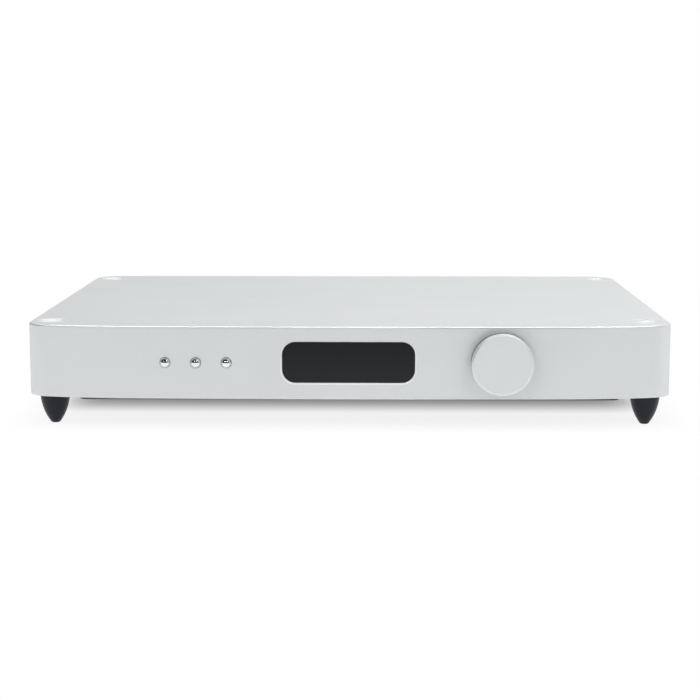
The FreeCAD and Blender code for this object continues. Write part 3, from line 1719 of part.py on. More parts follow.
os.makedirs("parts", exist_ok=True)
for piece_name, piece_shapes in pieces().items():
    save(piece_name, piece_shapes)
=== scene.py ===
"""A slim full-width digital-to-analogue converter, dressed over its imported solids.

Laid out as an add-on: sizes and colours are properties, each group of pieces has an operator,
and one panel lists them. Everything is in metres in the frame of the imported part.
"""
import json
import math

import bmesh
import bpy
from mathutils import Matrix, Vector


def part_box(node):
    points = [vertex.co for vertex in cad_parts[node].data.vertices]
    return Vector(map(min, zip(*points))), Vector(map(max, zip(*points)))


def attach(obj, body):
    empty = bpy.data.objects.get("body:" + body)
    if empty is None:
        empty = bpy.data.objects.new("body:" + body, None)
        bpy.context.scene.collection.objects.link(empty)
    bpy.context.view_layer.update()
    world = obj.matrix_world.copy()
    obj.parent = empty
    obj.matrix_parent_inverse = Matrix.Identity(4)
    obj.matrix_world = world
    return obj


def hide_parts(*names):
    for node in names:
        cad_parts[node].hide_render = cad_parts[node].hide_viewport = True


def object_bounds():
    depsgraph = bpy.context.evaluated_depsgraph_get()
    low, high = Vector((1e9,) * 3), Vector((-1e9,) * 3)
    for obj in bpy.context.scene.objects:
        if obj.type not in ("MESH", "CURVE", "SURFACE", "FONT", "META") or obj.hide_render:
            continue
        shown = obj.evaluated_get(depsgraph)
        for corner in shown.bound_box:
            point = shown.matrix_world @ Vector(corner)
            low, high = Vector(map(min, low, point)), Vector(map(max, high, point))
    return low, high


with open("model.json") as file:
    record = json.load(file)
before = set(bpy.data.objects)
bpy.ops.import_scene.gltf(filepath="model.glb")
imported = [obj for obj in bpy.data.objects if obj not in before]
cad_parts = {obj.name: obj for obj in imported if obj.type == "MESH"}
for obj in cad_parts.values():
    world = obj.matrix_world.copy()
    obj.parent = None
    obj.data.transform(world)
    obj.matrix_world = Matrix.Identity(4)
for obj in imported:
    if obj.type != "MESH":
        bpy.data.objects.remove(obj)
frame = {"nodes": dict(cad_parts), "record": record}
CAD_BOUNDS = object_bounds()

bl_info = {
    "name": "Digital-to-analogue converter",
    "version": (1, 0, 0),
    "blender": (4, 5, 0),
    "location": "3D View > Sidebar > Converter",
    "description": "Dresses the packed converter with turned, bevelled and finished pieces",
    "category": "Object",
}

BUTTONS = ("left", "middle", "right")
MILLIMETRE = 0.001
SAME_PLACE = 1e-6
SAME_CORNER = 1e-7
ROUND_STEPS = 96
PATTERN_LOW = 0.3
PATTERN_HIGH = 0.7


def node_centre(node):
    """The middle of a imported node's box."""
    low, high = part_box(node)
    return (low + high) / 2


def node_size(node):
    low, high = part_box(node)
    return high - low


def length_property(name, description, default):
    return bpy.props.FloatProperty(
        name=name, description=description, default=default, min=0.0, unit="LENGTH", precision=5
    )


def angle_property(name, description, degrees):
    return bpy.props.FloatProperty(
        name=name, description=description, default=math.radians(degrees), subtype="ANGLE"
    )


def colour_property(name, description, default):
    return bpy.props.FloatVectorProperty(
        name=name, description=description, default=default, size=3, min=0.0, max=1.0, subtype="COLOR"
    )


def power_property(name, description, default):
    return bpy.props.FloatProperty(
        name=name, description=description, default=default, min=0.0, unit="POWER"
    )


def share_property(name, description, default):
    return bpy.props.FloatProperty(
        name=name, description=description, default=default, min=0.0, max=1.0
    )


class ConverterSizes(bpy.types.PropertyGroup):
    """Sizes of the dressed pieces that don't follow from a node's box alone."""

    bow_radius: length_property("Bow radius", "Radius of the front's wide bow", 6.0)
    shoulder_radius: length_property("Shoulder radius", "Radius where the bow tightens", 0.317)
    shoulder_width: length_property("Shoulder width", "Width beside the wide bow, to the case's side", 0.075)
    corner_radius: length_property("Corner radius", "Radius of the front corners", 0.019)
    rear_corner: length_property("Rear corner", "Radius of the rear corners", 0.023)
    top_edge: length_property("Top edge", "Rounding of the shell's top edge", 0.0014)
    bottom_edge: length_property("Bottom edge", "Chamfer of the shell's bottom edge", 0.0004)
    wall: length_property("Wall", "Thickness of the shell's sides", 0.006)
    front_wall: length_property("Front wall", "Thickness of the shell's front at its middle", 0.008)
    top_wall: length_property("Top wall", "Thickness of the shell's top", 0.004)
    block_width: length_property("Block width", "Width of the solid corners, from the case's side", 0.047)
    block_front: length_property("Front block", "Reach of the front corners behind the front wall", 0.045)
    block_rear: length_property("Rear block", "Reach of the rear corners from the rear face", 0.040)
    rear_inset: length_property("Rear inset", "From the case's side to the rear opening", 0.029)
    lug: length_property("Lug", "Side of the lugs that take the base plate's screws", 0.010)
    window_width: length_property("Window width", "Width of the display's opening", 0.0918)
    window_height: length_property("Window height", "Height of the display's opening", 0.0286)
    window_corner: length_property("Window corner", "Corner radius of the display's opening", 0.0092)
    window_bevel: length_property("Window bevel", "Width of the bevel round the display's opening", 0.0011)
    window_depth: length_property("Window depth", "Depth of that bevel", 0.0006)
    window_gap: length_property("Window gap", "Gap round the lens", 0.0002)
    bore_gap: length_property("Bore gap", "Gap round a button", 0.00025)
    cup_gap: length_property("Cup gap", "Gap round a stacking cup", 0.0001)
    nut_recess: length_property("Nut recess", "Radius of the recess behind the knob", 0.008)
    nut_depth: length_property("Nut depth", "Depth of the recess behind the knob", 0.003)
    bush_bore: length_property("Bush bore", "Radius of the bore for the encoder's bush", 0.00415)
    knob_bevel: length_property("Knob bevel", "Width of the bright bevel round the knob's face", 0.0015)
    # Painted shade: the width of the knob's side that its finish darkens.
    knob_shade_band: length_property("Knob band", "Width of the dark band behind the knob's bevel", 0.0080)
    knob_wall: length_property("Knob wall", "Thickness of the knob's skirt", 0.0030)
    knob_face: length_property("Knob face", "Thickness of the knob's front", 0.0035)
    knob_hub: length_property("Knob hub", "Radius of the hub behind the knob's face", 0.0060)
    dome_height: length_property("Dome height", "Rise of a button's dome above its straight side", 0.0028)
    button_radius: length_property("Button radius", "Radius of a button's straight side", 0.0035)
    button_flange: length_property("Button flange", "Thickness of the flange behind the front wall", 0.0010)
    button_stem: length_property("Button stem", "Radius of the stem that meets the switch", 0.0016)
    foot_curve: length_property("Foot curve", "Radius of the arc down a foot's side", 0.0373)
    foot_edge: length_property("Foot edge", "Rounding of a foot's tip and top edges", 0.0004)
    cup_rim: length_property("Cup rim", "Width of the flat ring round a stacking cup", 0.0014)
    cup_floor: length_property("Cup floor", "Radius of the flat floor in a stacking cup", 0.0036)
    cup_depth: length_property("Cup depth", "Depth of the dish in a stacking cup", 0.0026)
    hard_edge: length_property("Hard edge", "Broken edges on machined and moulded parts", 0.00025)
    sheet_edge: length_property("Sheet edge", "Broken edges on sheet metal", 0.00015)


class ConverterColours(bpy.types.PropertyGroup):
    """Base colours of the finishes, as linear light."""

    anodised: colour_property("Anodised", "Clear anodised shell and knob", (0.765, 0.785, 0.79))
    panel: colour_property("Panel", "Satin anodised rear panel", (0.62, 0.63, 0.64))
    chrome: colour_property("Chrome", "Bright plated buttons", (0.86, 0.87, 0.88))
    polished: colour_property("Polished", "Polished cups, sockets and tabs", (0.84, 0.85, 0.86))
    cup: colour_property("Cup", "Bright satin of the stacking cups", (0.66, 0.67, 0.68))
    # Painted highlight: this near-white stands in for light caught by the window's bevel.
    bevel: colour_property("Bevel", "Bright cut bevel round the window", (0.94, 0.94, 0.94))
    foot: colour_property("Foot", "Satin black feet", (0.011, 0.013, 0.019))
    dark_steel: colour_property("Dark steel", "Powder coated sheet steel", (0.020, 0.021, 0.023))
    window: colour_property("Window", "Smoked display window", (0.0075, 0.0085, 0.0100))
    black_plastic: colour_property("Black plastic", "Moulded black parts", (0.018, 0.018, 0.019))
    grey_plastic: colour_property("Grey plastic", "Moulded grey parts", (0.12, 0.12, 0.125))
    white_plastic: colour_property("White plastic", "Moulded white parts", (0.70, 0.69, 0.66))
    board: colour_property("Board", "Solder mask on the circuit boards", (0.010, 0.075, 0.035))
    nickel: colour_property("Nickel", "Satin nickel of the balanced sockets", (0.50, 0.49, 0.47))
    zinc: colour_property("Zinc", "Zinc plated steel", (0.55, 0.56, 0.57))
    gold: colour_property("Gold", "Gold plated contacts", (0.85, 0.60, 0.24))
    tin: colour_property("Tin", "Tinned contacts", (0.68, 0.67, 0.65))
    winding: colour_property("Winding", "Lacquered copper winding", (0.48, 0.20, 0.06))
    rubber: colour_property("Rubber", "Rubber pads", (0.012, 0.012, 0.012))
    sleeve: colour_property("Sleeve", "Shrunk sleeve on the capacitors", (0.015, 0.022, 0.055))
    lead: colour_property("Lead", "Sheath of the inner leads", (0.24, 0.018, 0.012))
    ribbon: colour_property("Ribbon", "Sheath of the flat cable", (0.34, 0.35, 0.37))
    fuse: colour_property("Fuse", "Fuse glass", (0.80, 0.84, 0.84))
    floor: colour_property("Floor", "Studio floor", (0.86, 0.86, 0.86))


class ConverterStudio(bpy.types.PropertyGroup):
    """The camera and the lamps."""

    camera_place: bpy.props.FloatVectorProperty(
        name="Camera place", description="Where the camera stands", default=(0.01891, -1.338, 0.22866),
        size=3, subtype="XYZ", unit="LENGTH",
    )
    camera_pitch: angle_property("Camera pitch", "How far the camera looks down", 8.358)
    camera_yaw: angle_property("Camera yaw", "How far the camera looks to the left", 0.877)
    camera_lens: bpy.props.FloatProperty(
        name="Lens", description="Focal length for a 36 mm sensor", default=88.3, min=1.0, unit="CAMERA"
    )
    top_power: power_property("Top power", "Long lamp above the unit", 16.5)
    key_power: power_property("Key power", "Lamp at the front right", 6.0)
    fill_power: power_property("Fill power", "Lamp at the front left", 6.0)
    dark_room: share_property("Dark room", "Brightness of the room in front of the unit", 0.03)
    sky: share_property("Sky", "Strength of the light that comes from all round", 0.74)
    shadow_depth: length_property("Shadow depth", "Reach of the dark shadow from the unit's long axis", 0.04)
    shadow_fade: length_property("Shadow fade", "Where the dark shadow ends towards the front", 0.12)
    shadow_width: length_property("Shadow width", "How far the dark shadow reaches to each side", 0.19)
    shadow_side: length_property("Shadow side", "Where the dark shadow has faded to each side", 0.25)
    shadow_dark: share_property("Shadow dark", "Share of the shadow that shows under the unit", 0.76)
    shadow_light: share_property("Shadow light", "Share of the shadow that shows round the feet", 0.13)


def sizes():
    return bpy.context.scene.converter_sizes


def colours():
    return bpy.context.scene.converter_colours


def studio():
    return bpy.context.scene.converter_studio


def add_node(tree, kind, **inputs):
    """A shader node with some of its sockets set by name."""
    node = tree.nodes.new(kind)
    for name, value in inputs.items():
        node.inputs[name.replace("_", " ")].default_value = value
    return node


def worked(tree, operation, *sources, kind="ShaderNodeMath", output="Value"):
    """The result of one operation on sockets and plain values."""
    node = tree.nodes.new(kind)
    node.operation = operation
    for place, source in enumerate(sources):
        if isinstance(source, bpy.types.NodeSocket):
            tree.links.new(source, node.inputs[place])
        else:
            node.inputs[place].default_value = source
    return node.outputs[output]


class Finish:
    """One procedural material: a principled shader with pattern on colour, roughness and bump."""

    def __init__(self, name, colour, metallic=0.0, roughness=0.5):
        self.material = bpy.data.materials.new(name)
        self.material.use_nodes = True
        self.tree = self.material.node_tree
        self.shader = self.tree.nodes["Principled BSDF"]
        self.colour = (*colour, 1.0)
        self.shader.inputs["Base Color"].default_value = self.colour
        self.shader.inputs["Metallic"].default_value = metallic
        self.shader.inputs["Roughness"].default_value = roughness
        self.roughness = roughness
        self.place = self.tree.nodes.new("ShaderNodeTexCoord").outputs["Object"]
        self.normal = None

    def set(self, **inputs):
        for name, value in inputs.items():
            self.shader.inputs[name.replace("_", " ")].default_value = value
        return self

    def fed(self, kind, source, socket, output, **inputs):
        """What a new node gives when one of its sockets is fed from a source."""
        node = add_node(self.tree, kind, **inputs)
        self.tree.links.new(source, node.inputs[socket])
        return node.outputs[output]

    def spread(self, value, **inputs):
        """A value mapped from one range to another."""
        return self.fed("ShaderNodeMapRange", value, "Value", "Result", **inputs)

    def place_on(self, axis):
        return self.fed("ShaderNodeSeparateXYZ", self.place, "Vector", axis)

    def stretched(self, scale):
        """Object coordinates drawn out along one axis, for brushing and tracks."""
        return self.fed("ShaderNodeMapping", self.place, "Vector", "Vector", Scale=scale)

    def noise(self, scale, detail=2.0, place=None):
        """Noise whose features are about one over scale metres across."""
        source = place or self.place
        look = {"Scale": scale, "Detail": detail, "Roughness": 0.55}
        return self.fed("ShaderNodeTexNoise", source, "Vector", "Fac", **look)

    def along(self, axis, start, end):
        """Rises from PATTERN_LOW to PATTERN_HIGH between two places on one axis."""
        return self.spread(
            self.place_on(axis), From_Min=start, From_Max=end, To_Min=PATTERN_LOW, To_Max=PATTERN_HIGH
        )

    def band(self, axis, start, end, soft):
        """PATTERN_LOW between two places on one axis and PATTERN_HIGH beyond them."""
        off = add_node(self.tree, "ShaderNodeMapRange", From_Min=(start + end) / 2, From_Max=end, To_Max=1.0)
        off.clamp = False
        self.tree.links.new(self.place_on(axis), off.inputs["Value"])
        size = worked(self.tree, "ABSOLUTE", off.outputs["Result"])
        return self.spread(size, From_Min=1.0 - soft, From_Max=1.0, To_Min=PATTERN_LOW, To_Max=PATTERN_HIGH)

    def cells(self, scale):
        """Distance to the nearest of many scattered points, for blasted and moulded grain."""
        return self.fed("ShaderNodeTexVoronoi", self.place, "Vector", "Distance", Scale=scale)

    def ramp(self, value, low, high):
        """A pattern spread between two numbers."""
        return self.spread(value, From_Min=PATTERN_LOW, From_Max=PATTERN_HIGH, To_Min=low, To_Max=high)

    def tint(self, value, darker, lighter):
        """Base colour moved between two shades of itself."""
        mix = self.tree.nodes.new("ShaderNodeMix")
        mix.data_type = "RGBA"
        for socket, share in (("A", darker), ("B", lighter)):
            mix.inputs[socket].default_value = (*[min(1.0, c * share) for c in self.colour[:3]], 1.0)
        self.tree.links.new(self.ramp(value, 0.0, 1.0), mix.inputs["Factor"])
        self.tree.links.new(mix.outputs["Result"], self.shader.inputs["Base Color"])
        return self

    def wear(self, value, smoother, rougher):
        self.tree.links.new(self.ramp(value, smoother, rougher), self.shader.inputs["Roughness"])
        return self

    def bump(self, value, height, strength=0.3):
        """One more layer of relief, height in metres."""
        node = add_node(self.tree, "ShaderNodeBump", Strength=strength, Distance=height)
        self.tree.links.new(value, node.inputs["Height"])
        if self.normal is not None:
            self.tree.links.new(self.normal, node.inputs["Normal"])
        self.normal = node.outputs["Normal"]
        self.tree.links.new(self.normal, self.shader.inputs["Normal"])
        return self


def anodised_finish(name="blasted_anodised", pattern=None, darker=0.985):
    """Fine blasted, clear anodised aluminium: soft sheen, faint cloudiness, tiny grain."""
    finish = Finish(name, colours().anodised, metallic=0.6, roughness=0.40)
    finish.set(Specular_IOR_Level=0.2, Specular_Tint=(0.8, 0.8, 0.8, 1.0))
    # A given pattern takes the place of the faint cloudiness, as the knob's band of painted shade does.
    finish.tint(finish.noise(14.0, 3.0) if pattern is None else pattern(finish), darker, 1.01)
    finish.wear(finish.noise(38.0, 4.0), 0.385, 0.415)
    finish.bump(finish.noise(5200.0, 2.0), 0.00002, 0.25)
    finish.bump(finish.cells(2600.0), 0.00001, 0.15)
    return finish.material


def knob_painted_shade_finish():
    """The shell's finish, with painted shade: a darker band round the side behind the bevel."""
    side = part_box("knob")[0].y + sizes().knob_bevel
    end = side + sizes().knob_shade_band
    # Painted shade: the band between side and end gets 0.3 of the colour.
    return anodised_finish("turned_anodised", lambda made: made.band("Y", side, end, soft=0.2), darker=0.3)


def panel_finish():
    """Satin anodised sheet with a fine brush along its length."""
    finish = Finish("satin_anodised", colours().panel, metallic=0.85, roughness=0.42)
    brushing = finish.noise(9000.0, 3.0, finish.stretched((0.02, 1.0, 1.0)))
    finish.tint(brushing, 0.94, 1.05)
    finish.wear(finish.noise(45.0, 3.0), 0.38, 0.47)
    finish.bump(brushing, 0.00001, 0.3)
    return finish.material


def chrome_finish():
    """Bright chrome plate, almost a mirror."""
    finish = Finish("bright_chrome", colours().chrome, metallic=1.0, roughness=0.04)
    finish.tint(finish.noise(220.0, 2.0), 0.985, 1.01)
    finish.wear(finish.noise(900.0, 3.0), 0.03, 0.06)
    finish.bump(finish.noise(420.0, 2.0), 0.000004, 0.1)
    return finish.material


def polished_finish():
    """Polished metal with faint wiping marks."""
    finish = Finish("polished_plate", colours().polished, metallic=1.0, roughness=0.28)
    marks = finish.noise(1600.0, 2.0, finish.stretched((1.0, 0.4, 1.0)))
    finish.tint(marks, 0.96, 1.03)
    finish.wear(marks, 0.26, 0.30)
    finish.bump(marks, 0.000006, 0.15)
    return finish.material


def bevel_highlight_finish():
    """Bevel round the window in a painted highlight: a near-white colour, palest along its lower run as
    painted light from above.
    """
    low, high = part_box("display_lens")
    finish = Finish("bright_bevel", colours().bevel, metallic=0.1, roughness=0.5)
    # Painted highlight: full colour along the lower run, 0.7 of it at the top.
    finish.tint(finish.along("Z", low.z, high.z), 1.0, 0.7)
    finish.wear(finish.noise(600.0, 3.0), 0.46, 0.54)
    finish.bump(finish.noise(3000.0, 2.0), 0.000005, 0.15)
    return finish.material


def cup_finish():
    """Pale satin metal of the stacking cups."""
    finish = Finish("bright_satin", colours().cup, metallic=0.3, roughness=0.55)
    finish.set(Specular_IOR_Level=0.3)
    finish.tint(finish.noise(150.0, 2.0), 0.97, 1.02)
    finish.wear(finish.noise(600.0, 3.0), 0.52, 0.58)
    finish.bump(finish.noise(3000.0, 2.0), 0.000005, 0.15)
    return finish.material


def foot_finish():
    """Satin black lacquer over turned metal."""
    finish = Finish("satin_black_lacquer", colours().foot, roughness=0.34)
    finish.set(Coat_Weight=0.06, Coat_Roughness=0.25, Specular_IOR_Level=0.22)
    finish.tint(finish.noise(90.0, 3.0), 0.85, 1.2)
    finish.wear(finish.noise(260.0, 3.0), 0.30, 0.40)
    finish.bump(finish.noise(2400.0, 2.0), 0.00002, 0.2)
    return finish.material


def dark_steel_finish():
    """Black powder coat: small even bumps."""
    finish = Finish("black_powder_coat", colours().dark_steel, roughness=0.55)
    finish.tint(finish.noise(120.0, 3.0), 0.85, 1.2)
    finish.wear(finish.noise(600.0, 2.0), 0.48, 0.62)
    finish.bump(finish.cells(1500.0), 0.00005, 0.35)
    return finish.material


def window_finish():
    """Smoked gloss acrylic, coated against reflections, with a painted reflection that makes it a little
    paler towards its lower edge.
    """
    finish = Finish("smoked_acrylic", colours().window, roughness=0.09)
    finish.set(IOR=1.49, Specular_IOR_Level=0.2)
    low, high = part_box("display_lens")
    # Painted reflection: the lower edge gets 1.8 times the colour and the top 0.4 times.
    finish.tint(finish.along("Z", low.z, high.z), 1.8, 0.4)
    finish.wear(finish.noise(180.0, 2.0), 0.07, 0.12)
    finish.bump(finish.noise(60.0, 1.0), 0.000004, 0.1)
    return finish.material


def moulded_finish(name, colour, roughness, grain=2200.0):
    """A moulded plastic with fine spark-eroded grain."""
    finish = Finish(name, colour, roughness=roughness)
    finish.tint(finish.noise(160.0, 2.0), 0.92, 1.08)
    finish.wear(finish.noise(700.0, 3.0), roughness - 0.05, roughness + 0.06)
    finish.bump(finish.cells(grain), 0.00003, 0.25)
    return finish.material


def board_finish():
    """Solder mask over faint copper tracks."""
    finish = Finish("solder_mask", colours().board, roughness=0.32)
    tracks = finish.noise(420.0, 0.0, finish.stretched((1.0, 0.25, 1.0)))
    finish.tint(tracks, 0.75, 1.5)
    finish.wear(finish.noise(900.0, 2.0), 0.26, 0.38)
    finish.bump(tracks, 0.00003, 0.4)
    return finish.material


def plated_finish(name, colour, roughness):
    """Plated or turned metal with fine rings and a little tarnish."""
    finish = Finish(name, colour, metallic=1.0, roughness=roughness)
    finish.tint(finish.noise(340.0, 3.0), 0.90, 1.06)
    finish.wear(finish.noise(1100.0, 3.0), roughness * 0.8, roughness * 1.3)
    finish.bump(finish.noise(6000.0, 1.0, finish.stretched((1.0, 0.05, 1.0))), 0.00001, 0.2)
    return finish.material


def winding_finish():
    """Lacquered wire laid round a ring: fine radial ridges."""
    finish = Finish("lacquered_winding", colours().winding, metallic=0.6, roughness=0.35)
    turns = finish.noise(900.0, 2.0)
    finish.tint(turns, 0.7, 1.25)
    finish.wear(finish.noise(300.0, 2.0), 0.28, 0.45)
    finish.bump(turns, 0.0002, 0.5)
    return finish.material


def sheath_finish(name, colour):
    """Flexible lead sheath."""
    finish = Finish(name, colour, roughness=0.48)
    finish.tint(finish.noise(300.0, 2.0), 0.88, 1.1)
    finish.wear(finish.noise(800.0, 2.0), 0.42, 0.55)
    finish.bump(finish.noise(1500.0, 2.0), 0.00003, 0.2)
    return finish.material


def fuse_finish():
    """Glass tube of the fuse."""
    finish = Finish("clear_glass", colours().fuse, roughness=0.06)
    finish.set(Transmission_Weight=0.6, IOR=1.5)
    finish.tint(finish.noise(200.0, 2.0), 0.95, 1.0)
    finish.wear(finish.noise(500.0, 2.0), 0.04, 0.09)
    finish.bump(finish.noise(400.0, 2.0), 0.00001, 0.1)
    return finish.material


def make_finishes():
    """Every finish, under the name of its material slot in the record."""
    paint = colours()
    return {
        "anodised": anodised_finish(),
        # The knob's finish has a band of painted shade round its side.
        "knob_side": knob_painted_shade_finish(),
        "panel_aluminium": panel_finish(),
        "dark_steel": dark_steel_finish(),
        "foot_black": foot_finish(),
        "polished_metal": polished_finish(),
        "cup_satin": cup_finish(),
        "bright_bevel": bevel_highlight_finish(),
        "nickel": plated_finish("satin_nickel", paint.nickel, 0.34),
        "chrome": chrome_finish(),
        "smoked_window": window_finish(),
        "black_plastic": moulded_finish("black_moulding", paint.black_plastic, 0.46),
        "grey_plastic": moulded_finish("grey_moulding", paint.grey_plastic, 0.50),
        "white_plastic": moulded_finish("white_moulding", paint.white_plastic, 0.36),
        "circuit_board": board_finish(),
        "zinc_steel": plated_finish("zinc_plate", paint.zinc, 0.30),
        "gold_plate": plated_finish("gold_over_nickel", paint.gold, 0.20),
        "tinned_contact": plated_finish("tin_plate", paint.tin, 0.34),
        "copper_winding": winding_finish(),
        "rubber": moulded_finish("black_rubber", paint.rubber, 0.75, 900.0),
        "capacitor_sleeve": sheath_finish("shrunk_sleeve", paint.sleeve),
        "lead_sheath": sheath_finish("red_sheath", paint.lead),
        "ribbon_sheath": sheath_finish("grey_sheath", paint.ribbon),
        "fuse_glass": fuse_finish(),
    }


FINISHES = {}


def finish_of(slot):
    """The material of a record slot, made the first time that one is asked for."""
    if not FINISHES:
        FINISHES.update(make_finishes())
    return FINISHES[slot]


def slot_of(node):
    for part in frame["record"]["subparts"]:
        if part["node"] == node:
            return part["material_slot"]
    raise RuntimeError("no material slot is recorded for " + node)


def body_of_node(node):
    for body, nodes in frame["record"]["behaviour"]["bodies"].items():
        if node in nodes:
            return body
    raise RuntimeError("no body holds " + node)


def finished_mesh(name, work):
    """The mesh of a bmesh, which is freed."""
    mesh = bpy.data.meshes.new(name)
    work.to_mesh(mesh)
    work.free()
    return mesh


def in_scene(name, data):
    """An object in the scene that shows a mesh, a lamp or a camera."""
    thing = bpy.data.objects.new(name, data)
    bpy.context.scene.collection.objects.link(thing)
    return thing


def place_piece(name, work, node, finish=None):
    """A finished bmesh becomes a piece that stands for a node and rides on the node's body."""
    mesh = finished_mesh(name, work)
    for polygon in mesh.polygons:
        polygon.use_smooth = True
    piece = in_scene(name, mesh)
    mesh.materials.append(finish_of(finish or slot_of(node)))
    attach(piece, body_of_node(node))
    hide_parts(node)
    return piece


def soft_normals(piece, angle=math.radians(32)):
    """Sharp edges by angle, with flat faces kept flat next to their rounded edges."""
    piece.data.set_sharp_from_angle(angle=angle)
    weighted = piece.modifiers.new("even_normals", "WEIGHTED_NORMAL")
    weighted.keep_sharp = True
    weighted.weight = 50


def node_mesh(node):
    """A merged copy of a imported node's triangles, with its flat areas made whole."""
    work = bmesh.new()
    work.from_mesh(frame["nodes"][node].data)
    bmesh.ops.remove_doubles(work, verts=work.verts, dist=SAME_PLACE)
    bmesh.ops.dissolve_limit(
        work, angle_limit=math.radians(0.6), verts=work.verts, edges=work.edges, delimit={"NORMAL"}
    )
    return work


def bevelled(work, geom, width, segments, **options):
    """A round bevel on chosen edges or corners."""
    bmesh.ops.bevel(
        work, geom=geom, offset=width, offset_type="OFFSET", segments=segments, profile=0.5,
        material=-1, **options,
    )


def break_edges(work, width, sharper_than=math.radians(35), segments=2):
    """Bevels every outward or inward edge that is sharper than an angle."""
    sharp = []
    for edge in work.edges:
        if len(edge.link_faces) == 2 and edge.calc_face_angle(0.0) > sharper_than:
            sharp.append(edge)
    if sharp:
        bevelled(
            work, sharp, width, segments,
            affect="EDGES", clamp_overlap=True, loop_slide=True, miter_outer="SHARP",
        )
    return work


def dressed_copy(node, width, finish=None):
    """A node's own shape with its edges broken and its rounds shaded smooth."""
    work = break_edges(node_mesh(node), width)
    piece = place_piece(node + "_dressed", work, node, finish)
    soft_normals(piece)


def revolved(profile, centre, axis, steps, work=None):
    """A profile of (radius, height) points spun once round an axis through centre."""
    spun = work or bmesh.new()
    across = Vector((1, 0, 0))
    places = [Vector(centre) + across * radius + Vector(axis) * height for radius, height in profile]
    verts = [spun.verts.new(place) for place in places]
    edges = [spun.edges.new(pair) for pair in zip(verts, verts[1:])]
    bmesh.ops.spin(
        spun, geom=verts + edges, cent=centre, axis=axis, dvec=(0, 0, 0), angle=2 * math.pi,
        steps=steps, use_merge=True, use_duplicate=False,
    )
    bmesh.ops.remove_doubles(spun, verts=spun.verts, dist=SAME_CORNER)
    return spun


def turned(profile, centre, axis, steps, work=None):
    """A closed profile revolved, with its faces looking outwards."""
    spun = revolved(profile, centre, axis, steps, work)
    bmesh.ops.recalc_face_normals(spun, faces=spun.faces)
    return spun


def arc_points(centre, radius, start, end, count):
    """Points on a circle in the profile's plane, angles from the radius direction."""
    points = []
    for step in range(count + 1):
        angle = start + (end - start) * step / count
        points.append((centre[0] + radius * math.cos(angle), centre[1] + radius * math.sin(angle)))
    return points


def corner_centres(node):
    """Plan centres of four like pieces, one at each corner of a node's box."""
    low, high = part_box(node)
    half = island_half(node)
    xs = (low.x + half, high.x - half)
    ys = (low.y + half, high.y - half)
    return [(x, y) for y in ys for x in xs]


def island_half(node):
    """Half the width of one of the round pieces that share a node."""
    mesh = frame["nodes"][node].data
    near = [v.co for v in mesh.vertices if v.co.x < 0 and v.co.y < 0]
    return (max(c.x for c in near) - min(c.x for c in near)) / 2


def swept(work, vert, centre, angle, steps):
    """Carries a vertex round a centre in plan and gives the last vertex of its arc."""
    arc = bmesh.ops.spin(
        work, geom=[vert], cent=centre, axis=(0, 0, 1), dvec=(0, 0, 0), angle=angle, steps=steps,
        use_merge=False, use_duplicate=False,
    )
    return [part for part in arc["geom_last"] if isinstance(part, bmesh.types.BMVert)][0]


def drawn(work, vert, place):
    """Draws a straight line from a vertex to a place and gives its end."""
    line = bmesh.ops.extrude_vert_indiv(work, verts=[vert])
    line["verts"][0].co = place
    return line["verts"][0]


def case_outline():
    """The case's plan as one face: wide bow, tighter shoulders, round corners, straight sides."""
    low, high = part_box("case_shell")
    values = sizes()
    half = high.x
    radius = values.bow_radius
    bow_centre = Vector((0, low.y + radius, low.z))
    bow_end = math.asin((half - values.shoulder_width) / radius)
    outward = Vector((math.sin(bow_end), -math.cos(bow_end), 0))
    shoulder_centre = bow_centre + outward * (radius - values.shoulder_radius)
    corner_x = half - values.corner_radius
    across = corner_x - shoulder_centre.x
    down = math.sqrt((values.shoulder_radius - values.corner_radius) ** 2 - across ** 2)
    shoulder_end = math.atan2(across, down)
    corner_centre = Vector((corner_x, shoulder_centre.y - down, low.z))
    rear_y = high.y - values.rear_corner
    rear_centre = Vector((half - values.rear_corner, rear_y, low.z))
    work = bmesh.new()
    vert = work.verts.new((0, low.y, low.z))
    vert = swept(work, vert, bow_centre, bow_end, 30)
    vert = swept(work, vert, shoulder_centre, shoulder_end - bow_end, 14)
    vert = swept(work, vert, corner_centre, math.pi / 2 - shoulder_end, 28)
    vert = drawn(work, vert, (half, rear_y, low.z))
    vert = swept(work, vert, rear_centre, math.pi / 2, 28)
    drawn(work, vert, (0, high.y, low.z))
    bmesh.ops.mirror(work, geom=work.verts[:] + work.edges[:], axis="X", merge_dist=SAME_PLACE)
    bmesh.ops.remove_doubles(work, verts=work.verts, dist=SAME_PLACE)
    bmesh.ops.contextual_create(work, geom=work.edges)
    widest = max(vert.co.x for vert in work.verts)
    bmesh.ops.scale(work, verts=work.verts, vec=(half / widest, 1.0, 1.0))
    return work


def raise_face(work, height):
    """Turns one flat face into a closed block."""
    raised = bmesh.ops.extrude_face_region(work, geom=work.faces[:], use_keep_orig=True)
    moved = [part for part in raised["geom"] if isinstance(part, bmesh.types.BMVert)]
    bmesh.ops.translate(work, verts=moved, vec=height)
    bmesh.ops.recalc_face_normals(work, faces=work.faces)


def bevel_where(work, chosen, width, segments):
    """Bevels the edges whose two ends both pass a test."""
    edges = [edge for edge in work.edges if all(chosen(vert.co) for vert in edge.verts)]
    if not edges:
        raise RuntimeError("no edge was found to bevel")
    bevelled(work, edges, width, segments, affect="EDGES", clamp_overlap=True, loop_slide=True)


def add_box(work, low, high):
    low = Vector(low)
    high = Vector(high)
    place = Matrix.LocRotScale((low + high) / 2, None, high - low)
    bmesh.ops.create_cube(work, size=1.0, matrix=place)


def add_rod(work, start, end, radius, segments=64):
    """A capped cylinder between two points."""
    start = Vector(start)
    end = Vector(end)
    turn = (end - start).to_track_quat("Z", "Y")
    place = Matrix.LocRotScale((start + end) / 2, turn, None)
    bmesh.ops.create_cone(
        work, cap_ends=True, cap_tris=False, segments=segments, radius1=radius, radius2=radius,
        depth=(end - start).length, matrix=place,
    )


